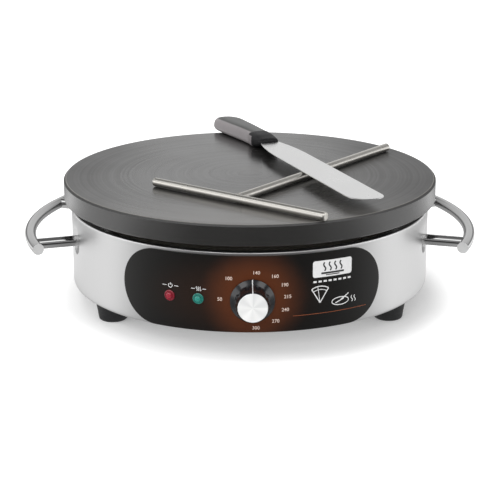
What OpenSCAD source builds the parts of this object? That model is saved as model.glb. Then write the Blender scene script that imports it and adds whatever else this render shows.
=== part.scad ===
// Electric crepe maker: a round cast plate over a steel housing, with its spreader and spatula.
// Millimetres. +Z is up, the front is towards -Y, and the origin is on the table under the plate's axis.

/* [Cooking plate] */
// Diameter of the cooking plate
plate_d = 400; // [390:1:410]
// Height of the plate's rim
plate_h = 22; // [20:0.5:26]
// Thickness of the plate over its recess
plate_web = 10; // [8:0.5:11]
// Width of the rim round the recess
plate_rim_w = 12; // [8:0.5:14]
// Chamfer on the top edge
plate_chamfer = 2; // [1:0.25:3]
// Open gap between housing and plate
plate_gap = 8; // [6:0.5:12]
// Diameter of the bosses that take the long studs
boss_d = 24; // [20:1:28]

/* [Housing] */
// Outer diameter of the housing
housing_d = 385; // [380:1:392]
// Height of the housing
housing_h = 83; // [80:0.5:90]
// Thickness of the housing sheet
housing_wall = 1; // [0.8:0.1:1.4]
// Outside radius of the bottom corner
housing_corner_r = 5; // [3:0.5:6]
// Outside radius of the top lip
lip_r = 3; // [2:0.5:4]
// Width of the flat part of the lip
lip_w = 4; // [2:0.5:5]
// Depth of the turned down edge inside the lip
lip_drop = 4; // [3:0.5:6]
// Width of the bottom flange
flange_w = 52; // [48:1:56]
// Thickness of the base plate
base_t = 1.5; // [1.2:0.1:2]
// Gap between base plate edge and housing corner
base_margin = 2; // [1:0.5:3]
// Radius of the ring of cooling slots
vent_r = 80; // [70:1:90]
// Length of a cooling slot
vent_len = 40; // [30:1:46]
// Width of a cooling slot
vent_w = 5; // [3:0.5:7]
// Number of cooling slots
vent_count = 12; // [8:1:16]

/* [Feet and long studs] */
// Height of a foot
foot_h = 22.5; // [20:0.5:28]
// Diameter of a foot at the housing
foot_top_d = 37; // [34:0.5:38]
// Diameter of a foot at the table
foot_bottom_d = 30; // [27:0.5:32]
// Radius of the circle of feet and studs
foot_ring_r = 167; // [165:0.5:168]
// Depth of the nut recess in a foot
foot_recess_h = 12; // [10.5:0.5:13]
// Diameter of the nut recess in a foot
foot_recess_d = 19; // [17.5:0.5:21]
// Diameter of the long studs
stud_d = 8; // [7:0.5:9]
// Depth of the studs in the plate
stud_depth = 13; // [10:0.5:15]
// Outer diameter of the spacer tubes
spacer_d = 14; // [12:0.5:16]

/* [Heat shield] */
// Distance from the lip down to the underside of the shield
shield_drop = 17.5; // [16:0.5:19]
// Thickness of the shield sheet
shield_t = 1; // [0.8:0.1:1.5]
// Radius of the shield
shield_r = 183; // [181:0.5:184]
// Height of the shield's turned up rim
shield_rim_h = 14; // [10:0.5:16]
// Thickness of the insulation
insulation_t = 11.5; // [8:0.5:13]

/* [Heating element] */
// Radius of the outer turn
ring_outer_r = 145; // [142:0.5:147]
// Radius of the inner turn
ring_inner_r = 85; // [80:0.5:90]
// Diameter of the element's sheath
sheath_d = 8.4; // [7:0.1:9]
// Angle left open between the two ends of a turn
ring_open = 30; // [26:1:36]
// Bend radius where the ends turn down
lead_bend = 10; // [8:0.5:12]
// Length of the ends below the shield
lead_len = 12; // [8:0.5:16]
// Width of a clamp bar
clamp_w = 16; // [12:0.5:20]
// Thickness of a clamp bar
clamp_t = 1.8; // [1.2:0.1:2]
// Diameter of the temperature bulb
bulb_d = 6; // [5:0.1:7]
// Length of the temperature bulb
bulb_len = 90; // [70:1:110]

/* [Handles] */
// Height of the handles above the housing's bottom
handle_up = 54; // [52:0.5:57]
// Diameter of the handle bar
bar_d = 12; // [9:0.5:13]
// Reach of the bar from the plate's axis
bar_reach = 237.5; // [234:0.5:246]
// Radius of the bar's bow
bow_r = 227; // [200:1:240]
// Half the angle of the bow
bow_angle = 26; // [23:0.25:28]
// Angle by which a handle's middle sits behind the side
handle_back = 3.5; // [0:0.25:5]
// Diameter of a handle post
post_d = 11.5; // [10:0.5:13]
// Angle of a post from the handle's middle
post_angle = 20; // [16:0.25:21]
// Diameter of the threaded ends of the posts
post_stud_d = 6; // [5:0.5:7]
// Depth of the dimple at a post
dimple_depth = 5.5; // [4.5:0.25:6.5]
// Radius of the dimple's hollow
dimple_r = 20; // [18:0.5:24]
// Radius of the dimple's flat floor
dimple_floor_r = 6.5; // [6.25:0.25:7]

/* [Control panel] */
// Height of the panel
panel_h = 78.5; // [70:0.5:79]
// Length of the panel along the curve
panel_len = 279; // [240:1:290]
// Thickness of the panel
panel_t = 1; // [0.6:0.1:1.5]
// Height of the panel's lower edge above the housing's bottom
panel_up = 1.5; // [0.5:0.25:2]
// Height of knob and lamps above the housing's bottom
knob_up = 34.5; // [33:0.5:36]
// Angle from the knob round to the red lamp
lamp_red_angle = 24.8; // [23:0.1:28]
// Angle from the knob round to the green lamp
lamp_green_angle = 15.9; // [14.5:0.1:18]
// Diameter of a lamp's brim
lamp_d = 11.2; // [9.5:0.1:12]
// Diameter of a lamp's raised centre
lamp_core_d = 6.4; // [5:0.1:7]
// Height of a lamp's raised centre
lamp_core_h = 3.2; // [2:0.1:4]
// Diameter of the hole for a lamp
lamp_hole_d = 8.4; // [8:0.1:9]
// Length of a lamp body behind the panel
lamp_body_len = 18; // [14:0.5:22]

/* [Knob] */
// Diameter of the knob's skirt
skirt_d = 44; // [40:0.5:48]
// Diameter of the knob's grip at the skirt
grip_d = 35; // [33:0.5:37]
// Diameter of the knob's grip at the front
grip_front_d = 31.6; // [31.5:0.1:33]
// Length of the whole knob
knob_len = 21.5; // [20:0.5:26]
// Gap between knob and panel
knob_gap = 0.8; // [0.5:0.1:1.5]
// Number of flutes round the grip
flute_count = 10; // [8:1:12]
// Depth of a flute
flute_depth = 1.3; // [0.8:0.1:1.6]
// Diameter of the knob's cap
cap_d = 29.4; // [28:0.2:30]
// Thickness of the cap
cap_t = 1.8; // [1.4:0.1:2.4]
// Width of the pointer line
pointer_w = 1.2; // [0.8:0.1:1.6]
// Diameter of the turning shaft
shaft_d = 6; // [5:0.1:6.5]
// Depth of the flat on the shaft
shaft_flat = 1; // [0.6:0.1:1.4]

/* [Thermostat] */
// Width and height of the thermostat
thermostat_w = 40; // [34:0.5:42]
// Depth of the thermostat
thermostat_t = 32; // [28:0.5:36]
// Distance from the housing's inside to the bracket
bracket_gap = 8; // [7:0.5:10]
// Thickness of the bracket
bracket_t = 1.5; // [1.2:0.1:2]
// Width of the bracket
bracket_w = 56; // [50:1:58]
// Diameter of the threaded neck round the shaft
neck_d = 10; // [9:0.5:12]

/* [Cord gland] */
// Angle of the gland round the rear, from the +X side
gland_angle = 78; // [72:1:80]
// Height of the gland above the housing's bottom
gland_up = 24; // [20:0.5:28]
// Diameter of the gland's thread in the wall
gland_d = 20; // [18:0.5:21]
// Reach of the gland from the wall
gland_reach = 26.5; // [24:0.5:28]
// Diameter of the hole for a cord
cord_hole_d = 8.4; // [7:0.1:9]

/* [Spreader] */
// Diameter of the spreader's tubes
tube_d = 9; // [8:0.25:10]
// Wall of the spreader's tubes
tube_wall = 1; // [0.7:0.1:1.2]
// Length of the crossbar
cross_len = 218; // [180:1:224]
// Length from the crossbar to the end of the grip
grip_len = 279; // [240:1:290]
// Place of the crossbar's middle, to the right
spreader_x = -14.6; // [-20:0.1:-10]
// Place of the crossbar's middle, to the rear
spreader_y = -121; // [-124:0.1:-110]
// Direction of the spreader's grip on the plate
spreader_turn = 51.8; // [50:0.1:54]
// Radius of the hollow edges of the web between crossbar and grip
web_r = 11; // [8:0.5:16]
// Thickness of the web
web_t = 4; // [3:0.5:5]

/* [Spatula] */
// Length of the blade in front of the bolster
blade_len = 260; // [230:1:270]
// Width of the blade
blade_w = 37; // [32:0.5:40]
// Width of the blade at the bolster
blade_root_w = 23; // [20:0.5:26]
// Thickness of the blade
blade_t = 1.2; // [0.8:0.1:1.6]
// Radius of the tip's far corner
tip_far_r = 12; // [9:0.5:14]
// Radius of the tip's near corner
tip_near_r = 21; // [16:0.5:22]
// Length of the handle behind the bolster
spatula_grip_len = 98; // [85:1:105]
// Height of the handle
spatula_grip_h = 16; // [14:0.5:18]
// Length of the bolster
bolster_len = 36; // [30:1:40]
// Height of the bolster
bolster_h = 17; // [15.5:0.5:19]
// Place of the bolster's front, to the right
spatula_x = 24.5; // [20:0.1:28]
// Place of the bolster's front, to the rear
spatula_y = 96; // [92:0.1:98]
// Direction of the blade on the plate
spatula_turn = -68.9; // [-71:0.1:-67]

/* [Clearances] */
// Gap round screws and studs in their clearance holes
hole_gap = 0.3; // [0.2:0.05:0.4]
// Gap between a thread and its nut
thread_gap = 0.03; // [0.01:0.01:0.05]
// Running gap round the turning shaft
shaft_gap = 0.05; // [0.02:0.01:0.09]
// Gap under loose pieces and round soft ones
rest_gap = 0.3; // [0.2:0.05:0.4]
// Gap between pieces that touch
touch_gap = 0.05; // [0.02:0.01:0.1]

/* [Hidden] */
$fn = 96;
fine = 240;
eps = 0.5;

// Levels, from the table up
housing_r = housing_d / 2;
inner_r = housing_r - housing_wall;
housing_z0 = foot_h;
housing_z1 = housing_z0 + housing_h;
base_z0 = housing_z0 + housing_wall;
base_z1 = base_z0 + base_t;
plate_r = plate_d / 2;
plate_z0 = housing_z1 + plate_gap;
plate_z1 = plate_z0 + plate_h;
recess_z = plate_z1 - plate_web;
shield_z0 = housing_z1 - shield_drop;
shield_z1 = shield_z0 + shield_t;
base_r = housing_r - housing_corner_r - base_margin;
flange_in_r = housing_r - housing_corner_r - flange_w;

// Feet, studs and screws
foot_angles = [-150, -30, 90];
foot_chamfer = 1.5;
foot_seat_z = foot_recess_h;
washer_t = 1.5;
stud_washer_d = 16;
stud_nut_af = 13;
stud_nut_h = 6;
stud_z0 = foot_seat_z - washer_t - stud_nut_h - 1;
screw_m4 = 4;
screw_m5 = 5;
base_screw_angles = [30, 150, 270];
base_screw_r = flange_in_r + flange_w / 4;
base_screw_len = 6;
head_m4_d = 7;
head_m4_h = 2.4;

// Heating element and its clamps
sheath_r = sheath_d / 2;
bead = 0.1;
bend_gap = 0.2;
element_z = recess_z - touch_gap - sheath_r - bead;
element_low = element_z - sheath_r;
ring_from = 90 + ring_open / 2;
ring_sweep = 360 - ring_open;
ring_mid_r = (ring_outer_r + ring_inner_r) / 2;
uturn_r = (ring_outer_r - ring_inner_r) / 2;
lead_angle = 90 - ring_open / 2;
lead_z = shield_z0 - lead_len;
lead_outer = lead_xy(ring_outer_r);
lead_inner = lead_xy(ring_inner_r);
lead_hole_d = sheath_d + 4;
clamp_angles = [150, 30, 270];
clamp_z1 = element_low - touch_gap;
clamp_z0 = clamp_z1 - clamp_t;
clamp_len = ring_outer_r - ring_inner_r + 2 * sheath_d;
clamp_boss_d = 12;
clamp_screw_len = 10;
low_head_d = 9;
low_head_h = 1.4;
bulb_z = recess_z - touch_gap - bulb_d / 2;
clip_z1 = bulb_z - bulb_d / 2 - touch_gap;
clip_t = 1.5;
clip_w = 12;
clip_screw_y = -12;
clip_boss_d = 9;

// Handles
handle_z = housing_z0 + handle_up;
bow_x = bar_reach - bow_r;
seat_r = housing_r - dimple_depth;
post_end_r = post_bar_r() - bar_d * 0.12;
post_angles = [-post_angle, post_angle];
handle_turn = [handle_back, 180 - handle_back];
dimple_x = seat_r + sqrt(dimple_r * dimple_r - dimple_floor_r * dimple_floor_r);
post_stud_len = 9;
handle_washer_t = 1.2;
handle_nut_af = 10;
handle_nut_h = 5;

// Panel, lamps and knob
knob_z = housing_z0 + knob_up;
panel_z = housing_z0 + panel_up + panel_h / 2;
panel_in_r = housing_r + touch_gap;
panel_r = panel_in_r + panel_t;
panel_steps = 30;
knob_hole_d = shaft_d + 6;
knob_back = panel_r + knob_gap;
knob_bore = 14;
skirt_edge = 1.2;
skirt_h = 5;
grip_shoulder = 2;
cap_seat = cap_t - 0.4;
flute_r = 5.5;
flute_start = 0.6;
pointer_proud = 0.3;
lamp_brim_t = 1.2;
lamp_body_d = 12;
lamp_tab = [5, 2, 0.8];
lamp_tab_y = 3;
lamp_seat = 0.4;
lamp_front = min(sqrt(inner_r * inner_r - lamp_body_d * lamp_body_d / 4) - touch_gap,
                 inner_r - lamp_seat - touch_gap);

// Thermostat, its bracket and shaft
bracket_y = inner_r - bracket_gap;
thermostat_y = bracket_y - bracket_t;
thermostat_back = thermostat_y - thermostat_t;
bracket_up = thermostat_w / 2 + 6;
bracket_foot = 24;
bracket_screw_x = 18;
thermostat_screw_x = 14;
thermostat_screw_len = 9;
neck_len = 5;
shaft_depth = 15;
shaft_in = thermostat_y - shaft_depth;
shaft_out = knob_back + knob_bore - 0.5;
tab = [6, 8, 0.8];
tab_x = 10;
tab_z = knob_z + 10;
tab_low_z = knob_z - 10;

// Gland
gland_z = housing_z0 + gland_up;
gland_flange_r = housing_r + touch_gap;
gland_flange_t = 5;
gland_af = 26;
gland_out = housing_r + gland_reach;
gland_neck_d = gland_d - 2;
gland_neck_end = gland_out - 7;
gland_bore_d = gland_d - 6;
gland_nut_af = 24;
locknut_af = 27;
locknut_h = 5;
locknut_r = sqrt(inner_r * inner_r - locknut_af * locknut_af / 3) - touch_gap;

// Terminals and wires
block = [46, 20, 18];
block_at = [70, 105];
pole_pitch = 15;
pole_x = [block_at[0] - pole_pitch, block_at[0], block_at[0] + pole_pitch];
pole_d = 6;
block_face_y = block_at[1] - block[1] / 2;
entry_z = base_z1 + 8;
entry_low_z = base_z1 + 4;
terminal_screw_h = 7;
earth_at = [118, 60];
earth_stud_d = 5;
earth_stud_len = 16;
earth_nut_af = 8;
earth_nut_h = 4;
lug_d = 11;
lug_t = 1.2;
lug_reach = 12;
lug_barrel = [6, 4, 6];
wire_gap = 0.2;
wire_d = 3;
lamp_wire_d = 1.8;
capillary_d = 1.6;
capillary_hole = [-58, -20];

// Loose tools on the plate
tube_r = tube_d / 2;
tube_z = plate_z1 + rest_gap + tube_r;
plug_t = 1.5;
blade_z = tube_z + tube_r + rest_gap + blade_t / 2;
grip_z0 = plate_z1 + rest_gap;
tang_w = 14;
tang_len = 100;
bolster_under = 3;
bolster_nose_h = 8;
bolster_tip = 2;

function lead_xy(r) = [r * cos(lead_angle) - lead_bend * sin(lead_angle),
                       r * sin(lead_angle) + lead_bend * cos(lead_angle)];

// Distance from the axis at which a post's centre line meets the bar's
function post_bar_r() = bow_x * cos(post_angle) + sqrt(bow_r * bow_r - pow(bow_x * sin(post_angle), 2));

function arc(cx, cy, r, from, to, steps) =
    [for (i = [0:steps]) let (a = from + (to - from) * i / steps) [cx + r * cos(a), cy + r * sin(a)]];

// A point of a smooth curve through four points, at t from the second to the third
function spline_at(a, b, c, d, t) =
    0.5 * (2 * b + (c - a) * t + (2 * a - 5 * b + 4 * c - d) * t * t + (3 * b - a - 3 * c + d) * t * t * t);

function smooth(p, steps) = let (n = len(p) - 1) [
    for (i = [0:n - 1]) for (k = [0:steps - 1])
        spline_at(p[max(i - 1, 0)], p[i], p[i + 1], p[min(i + 2, n)], k / steps),
    p[n]
];

function unit(v) = v / norm(v);

// A round tube swept along points; side is a direction that the route never follows
module sweep(route, d, side, sides = 8) {
    n = len(route) - 1;
    rings = [
        for (i = [0:n])
            let (t = unit(route[min(i + 1, n)] - route[max(i - 1, 0)]), u = unit(cross(t, side)), v = cross(t, u))
            for (k = [0:sides - 1])
                route[i] + d / 2 * (u * cos(360 * k / sides) + v * sin(360 * k / sides))
    ];
    walls = [
        for (i = [0:n - 1]) for (k = [0:sides - 1])
            let (a = i * sides + k, b = i * sides + (k + 1) % sides)
            each [[a, a + sides, b], [b, a + sides, b + sides]]
    ];
    ends = [[for (k = [0:sides - 1]) k], [for (k = [sides - 1:-1:0]) n * sides + k]];
    polyhedron(rings, concat(walls, ends));
}

// Places children on a ring, with their +X pointing outwards
module round_at(angle, r, z = 0) {
    rotate([0, 0, angle]) translate([r, 0, z]) children();
}

// Turns children so that their +Z points outwards, along +X
module outwards() {
    rotate([0, 90, 0]) children();
}

// Turns children so that their +Z points to the front, along -Y
module frontwards() {
    rotate([90, 0, 0]) children();
}

module ring(d_out, d_in, h) {
    difference() {
        cylinder(d = d_out, h = h);
        translate([0, 0, -eps]) cylinder(d = d_in, h = h + 2 * eps);
    }
}

// Hexagonal nut with its bore, given its width across flats
module nut(af, bore_d, h) {
    difference() {
        cylinder(d = af / cos(30), h = h, $fn = 6);
        translate([0, 0, -eps]) cylinder(d = bore_d, h = h + 2 * eps);
    }
}

// Screw that points up from its head
module screw_up(d, head_d, head_h, length) {
    translate([0, 0, -head_h]) cylinder(d = head_d, h = head_h);
    cylinder(d = d, h = length);
}

module at_feet() {
    for (a = foot_angles) round_at(a, foot_ring_r) children();
}

// Cooking plate: turned top, chamfered rim, recess for the element, bosses for studs and clamps
module cooking_plate() {
    color("dimgray") difference() {
        union() {
            rotate_extrude($fn = fine) polygon([
                [0, recess_z], [plate_r - plate_rim_w, recess_z], [plate_r - plate_rim_w, plate_z0],
                [plate_r - 1, plate_z0], [plate_r, plate_z0 + 1], [plate_r, plate_z1 - plate_chamfer],
                [plate_r - plate_chamfer, plate_z1], [0, plate_z1]
            ]);
            at_feet() translate([0, 0, plate_z0]) cylinder(d = boss_d, h = recess_z - plate_z0 + eps);
            for (a = clamp_angles) round_at(a, ring_mid_r, clamp_z1)
                cylinder(d = clamp_boss_d, h = recess_z - clamp_z1 + eps);
            translate([0, clip_screw_y, clip_z1]) cylinder(d = clip_boss_d, h = recess_z - clip_z1 + eps);
        }
        at_feet() translate([0, 0, plate_z0 - eps])
            cylinder(d = stud_d + 2 * thread_gap, h = stud_depth + 1 + eps);
        for (a = clamp_angles) round_at(a, ring_mid_r, clamp_z1 - eps)
            cylinder(d = screw_m5 + 2 * thread_gap, h = clamp_screw_len + eps);
        translate([0, clip_screw_y, clip_z1 - eps])
            cylinder(d = screw_m4 + 2 * thread_gap, h = clamp_screw_len + eps);
    }
}

// Section of the housing sheet: bottom flange, corner, wall, lip and turned down edge
module housing_section() {
    t = housing_wall;
    translate([flange_in_r, housing_z0]) square([flange_w, t]);
    translate([housing_r - housing_corner_r, housing_z0 + housing_corner_r]) intersection() {
        difference() {
            circle(r = housing_corner_r);
            circle(r = housing_corner_r - t);
        }
        translate([0, -housing_corner_r]) square([housing_corner_r, housing_corner_r]);
    }
    translate([inner_r, housing_z0 + housing_corner_r])
        square([t, housing_h - housing_corner_r - lip_r]);
    translate([housing_r - lip_r, housing_z1 - lip_r]) intersection() {
        difference() {
            circle(r = lip_r);
            circle(r = lip_r - t);
        }
        square([lip_r, lip_r]);
    }
    translate([housing_r - lip_r - lip_w, housing_z1 - t]) square([lip_w, t]);
    translate([housing_r - lip_r - lip_w - t, housing_z1 - lip_drop]) square([t, lip_drop]);
}

module at_posts() {
    for (t = handle_turn) for (a = post_angles) rotate([0, 0, t + a]) translate([0, 0, handle_z]) children();
}

// Hollow of a dimple: a ball cut flat at the post's seat
module dimple(grow) {
    intersection() {
        translate([dimple_x, 0, 0]) sphere(r = dimple_r + grow);
        translate([seat_r - grow, -dimple_r, -dimple_r]) cube(2 * dimple_r);
    }
}

// Housing: one spun sheet, dimpled at the handle posts, holed for studs, shaft, lamps and gland
module housing_shell() {
    color("gainsboro") difference() {
        union() {
            rotate_extrude($fn = fine) housing_section();
            at_posts() intersection() {
                dimple(housing_wall);
                translate([0, 0, -dimple_r]) cylinder(r = housing_r, h = 2 * dimple_r, $fn = fine);
            }
        }
        at_posts() dimple(0);
        at_posts() translate([seat_r - 2 * dimple_depth, 0, 0])
            outwards() cylinder(d = post_stud_d + 2 * hole_gap, h = 3 * dimple_depth);
        at_feet() translate([0, 0, housing_z0 - eps])
            cylinder(d = stud_d + 2 * hole_gap, h = housing_wall + 2 * eps);
        for (a = base_screw_angles) round_at(a, base_screw_r, housing_z0 - eps)
            cylinder(d = screw_m4 + 2 * hole_gap, h = housing_wall + 2 * eps);
        panel_holes();
        round_at(gland_angle, inner_r - 2, gland_z)
            outwards() cylinder(d = gland_d + 2 * hole_gap, h = housing_wall + 4);
    }
}

// Holes through housing and panel for the shaft and the two lamps
module panel_holes() {
    round_at(-90, inner_r - 2, knob_z) outwards() cylinder(d = knob_hole_d, h = housing_wall + panel_t + 4);
    for (a = [lamp_red_angle, lamp_green_angle]) round_at(-90 - a, inner_r - 2, knob_z)
        outwards() cylinder(d = lamp_hole_d, h = housing_wall + panel_t + 4);
}

// Base plate: lies on the housing's flange inside and carries everything
module base_plate() {
    color("silver") difference() {
        translate([0, 0, base_z0]) cylinder(r = base_r, h = base_t, $fn = fine);
        at_feet() translate([0, 0, base_z0 - eps]) cylinder(d = stud_d + 2 * hole_gap, h = base_t + 2 * eps);
        for (a = base_screw_angles) round_at(a, base_screw_r, base_z0 - eps)
            cylinder(d = screw_m4 + 2 * thread_gap, h = base_t + 2 * eps);
        for (i = [0:vent_count - 1]) round_at(360 * i / vent_count, vent_r, base_z0 - eps)
            translate([-vent_len / 2, -vent_w / 2, 0]) cube([vent_len, vent_w, base_t + 2 * eps]);
        for (x = [-bracket_screw_x, bracket_screw_x]) translate([x, bracket_screw_y(), base_z0 - eps])
            cylinder(d = screw_m4 + 2 * thread_gap, h = base_t + 2 * eps);
        translate([earth_at[0], earth_at[1], base_z0 - eps])
            cylinder(d = earth_stud_d + 2 * thread_gap, h = base_t + 2 * eps);
    }
}

function bracket_screw_y() = -thermostat_y + bracket_foot / 2;

module base_screws() {
    color("silver") for (a = base_screw_angles) round_at(a, base_screw_r, housing_z0)
        screw_up(screw_m4, head_m4_d, head_m4_h, base_screw_len);
}

// Foot: tapered black moulding, bored for the stud and recessed from below for its nut
module foot(index) {
    color("black") round_at(foot_angles[index], foot_ring_r) difference() {
        rotate_extrude() polygon([
            [0, 0], [foot_bottom_d / 2 - foot_chamfer, 0], [foot_bottom_d / 2, foot_chamfer],
            [foot_top_d / 2, foot_h], [0, foot_h]
        ]);
        translate([0, 0, -eps]) cylinder(d = foot_recess_d, h = foot_seat_z + eps);
        translate([0, 0, -eps]) cylinder(d = stud_d + 2 * hole_gap, h = foot_h + 2 * eps);
    }
}

module plate_studs() {
    color("silver") at_feet() translate([0, 0, stud_z0])
        cylinder(d = stud_d, h = plate_z0 + stud_depth - stud_z0);
}

module stud_washers() {
    color("silver") at_feet() translate([0, 0, foot_seat_z - washer_t])
        ring(stud_washer_d, stud_d + 2 * hole_gap, washer_t);
}

module stud_nuts() {
    color("silver") at_feet() translate([0, 0, foot_seat_z - washer_t - stud_nut_h])
        nut(stud_nut_af, stud_d + 2 * thread_gap, stud_nut_h);
}

module lower_spacers() {
    color("silver") at_feet() translate([0, 0, base_z1])
        ring(spacer_d, stud_d + 2 * hole_gap, shield_z0 - base_z1);
}

module upper_spacers() {
    color("silver") at_feet() translate([0, 0, shield_z1])
        ring(spacer_d, stud_d + 2 * hole_gap, plate_z0 - shield_z1);
}

// Holes that shield and insulation share for the element's ends and the capillary
module service_holes(z, h) {
    for (p = [lead_outer, lead_inner]) translate([p[0], p[1], z]) cylinder(d = lead_hole_d, h = h);
    translate([capillary_hole[0], capillary_hole[1], z]) cylinder(d = capillary_d + 5, h = h);
}

// Heat shield: dark pan clamped between the spacers
module heat_shield() {
    color("darkslategray") difference() {
        translate([0, 0, shield_z0]) cylinder(r = shield_r, h = shield_rim_h, $fn = fine);
        translate([0, 0, shield_z1]) cylinder(r = shield_r - shield_t, h = shield_rim_h, $fn = fine);
        at_feet() translate([0, 0, shield_z0 - eps])
            cylinder(d = stud_d + 2 * hole_gap, h = shield_t + 2 * eps);
        service_holes(shield_z0 - eps, shield_t + 2 * eps);
    }
}

module insulation_disc() {
    r = shield_r - shield_t - rest_gap;
    z = shield_z1 + rest_gap;
    color("dimgray") difference() {
        translate([0, 0, z]) cylinder(r = r, h = insulation_t, $fn = fine);
        at_feet() translate([0, 0, z - eps]) cylinder(d = spacer_d + 2 * rest_gap, h = insulation_t + 2 * eps);
        service_holes(z - eps, insulation_t + 2 * eps);
    }
}

// Arc of the sheath, held a hair short at both ends, where a bead joins it to the next one
module sheath_arc(r, sweep) {
    short = bend_gap / 2 / r * 180 / PI;
    rotate([0, 0, short]) rotate_extrude(angle = sweep - 2 * short, $fn = fine)
        translate([r, 0]) circle(d = sheath_d, $fn = 48);
}

// One turned down end of the element
module element_end(r, xy) {
    round_at(lead_angle, r, element_z) rotate([0, 0, 90]) translate([0, 0, -lead_bend])
        rotate([90, 0, 0]) sheath_arc(lead_bend, 90);
    translate([xy[0], xy[1], lead_z]) cylinder(d = sheath_d, h = element_z - lead_bend - lead_z - bend_gap / 2);
    translate([xy[0], xy[1], element_z - lead_bend]) sphere(r = sheath_r + bead);
}

// Heating element: two turns joined by a U bend, with both ends led down
module heating_element() {
    color("gray") union() {
        for (r = [ring_outer_r, ring_inner_r]) {
            translate([0, 0, element_z]) rotate([0, 0, ring_from]) sheath_arc(r, ring_sweep);
            for (a = [ring_from, lead_angle]) round_at(a, r, element_z) sphere(r = sheath_r + bead);
        }
        round_at(ring_from, ring_mid_r, element_z) rotate([0, 0, 180]) sheath_arc(uturn_r, 180);
        element_end(ring_outer_r, lead_outer);
        element_end(ring_inner_r, lead_inner);
    }
}

// Clamp bar across both turns
module element_clamp(index) {
    color("silver") round_at(clamp_angles[index], ring_mid_r, clamp_z0) difference() {
        translate([-clamp_len / 2, -clamp_w / 2, 0]) cube([clamp_len, clamp_w, clamp_t]);
        translate([0, 0, -eps]) cylinder(d = screw_m5 + 2 * hole_gap, h = clamp_t + 2 * eps);
    }
}

module element_clamp_screws() {
    color("silver") for (a = clamp_angles) round_at(a, ring_mid_r, clamp_z0)
        screw_up(screw_m5, low_head_d, low_head_h, clamp_t + clamp_screw_len - 1);
}

// Temperature bulb under the plate and its capillary to the thermostat
module thermostat_bulb() {
    bulb_end = [-bulb_len / 2, 0, bulb_z];
    hole = capillary_hole;
    route = [
        bulb_end, bulb_end + [-6, -1, -1], [hole[0], hole[1] + 6, shield_z1 + 24],
        [hole[0], hole[1], shield_z1 + 10], [hole[0], hole[1], shield_z0 - 6], [-50, -50, 70],
        [-32, -100, 62], [-8, -136, knob_z], [0, -thermostat_back + 4, knob_z], [0, -thermostat_back + 0.1, knob_z]
    ];
    color("peru") union() {
        translate([-bulb_len / 2, 0, bulb_z]) rotate([0, 90, 0]) cylinder(d = bulb_d, h = bulb_len);
        sweep(smooth(concat([bulb_end + [1, 0, 0]], [for (i = [1:len(route) - 1]) route[i]]), 3),
            capillary_d, [1.2, 0.1, -1]);
    }
}

module bulb_clip() {
    y0 = clip_screw_y - clip_boss_d / 2;
    color("silver") difference() {
        translate([-clip_w / 2, y0, clip_z1 - clip_t]) cube([clip_w, bulb_d - y0, clip_t]);
        translate([0, clip_screw_y, clip_z1 - clip_t - eps])
            cylinder(d = screw_m4 + 2 * hole_gap, h = clip_t + 2 * eps);
    }
}

module bulb_clip_screw() {
    color("silver") translate([0, clip_screw_y, clip_z1 - clip_t])
        screw_up(screw_m4, head_m4_d, low_head_h, clip_t + clamp_screw_len - 1);
}

// Thermostat: a moulded block with a threaded neck, bored for the shaft, and its contact tabs
module thermostat_body() {
    color("tan") difference() {
        union() {
            translate([-thermostat_w / 2, -thermostat_y, knob_z - thermostat_w / 2])
                cube([thermostat_w, thermostat_t, thermostat_w]);
            translate([0, -thermostat_y + eps, knob_z]) frontwards()
                cylinder(d = neck_d, h = bracket_t + neck_len + eps);
            for (x = [-tab_x, tab_x]) translate([x - tab[0] / 2, -thermostat_back - eps, tab_z - tab[2] / 2])
                cube([tab[0], tab[1] + eps, tab[2]]);
            translate([-tab_x - tab[0] / 2, -thermostat_back - eps, tab_low_z - tab[2] / 2])
                cube([tab[0], tab[1] + eps, tab[2]]);
        }
        translate([0, -shaft_in + 0.5, knob_z]) frontwards()
            cylinder(d = shaft_d + 2 * shaft_gap, h = bracket_gap + bracket_t + shaft_depth);
        for (x = [-thermostat_screw_x, thermostat_screw_x])
            translate([x, -thermostat_y + thermostat_screw_len, knob_z]) frontwards()
                cylinder(d = screw_m4 + 2 * thread_gap, h = thermostat_screw_len + eps);
    }
}

// Bracket: upright plate with a foot that stands on the base plate
module thermostat_bracket() {
    top = knob_z + bracket_up;
    color("silver") difference() {
        union() {
            translate([-bracket_w / 2, -bracket_y, base_z1]) cube([bracket_w, bracket_t, top - base_z1]);
            translate([-bracket_w / 2, -bracket_y, base_z1]) cube([bracket_w, bracket_foot, bracket_t]);
        }
        translate([0, -thermostat_y + eps, knob_z]) frontwards()
            cylinder(d = neck_d + 2 * hole_gap, h = bracket_t + 2 * eps);
        for (x = [-thermostat_screw_x, thermostat_screw_x]) translate([x, -thermostat_y + eps, knob_z])
            frontwards() cylinder(d = screw_m4 + 2 * hole_gap, h = bracket_t + 2 * eps);
        for (x = [-bracket_screw_x, bracket_screw_x]) translate([x, bracket_screw_y(), base_z1 - eps])
            cylinder(d = screw_m4 + 2 * hole_gap, h = bracket_t + 2 * eps);
    }
}

module thermostat_screws() {
    color("silver") for (x = [-thermostat_screw_x, thermostat_screw_x])
        translate([x, -bracket_y, knob_z]) rotate([-90, 0, 0])
            screw_up(screw_m4, head_m4_d, head_m4_h, bracket_t + thermostat_screw_len - 1);
}

module bracket_screws() {
    color("silver") for (x = [-bracket_screw_x, bracket_screw_x])
        translate([x, bracket_screw_y(), base_z1 + bracket_t]) rotate([180, 0, 0])
            screw_up(screw_m4, head_m4_d, head_m4_h, bracket_t + base_t);
}

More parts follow.
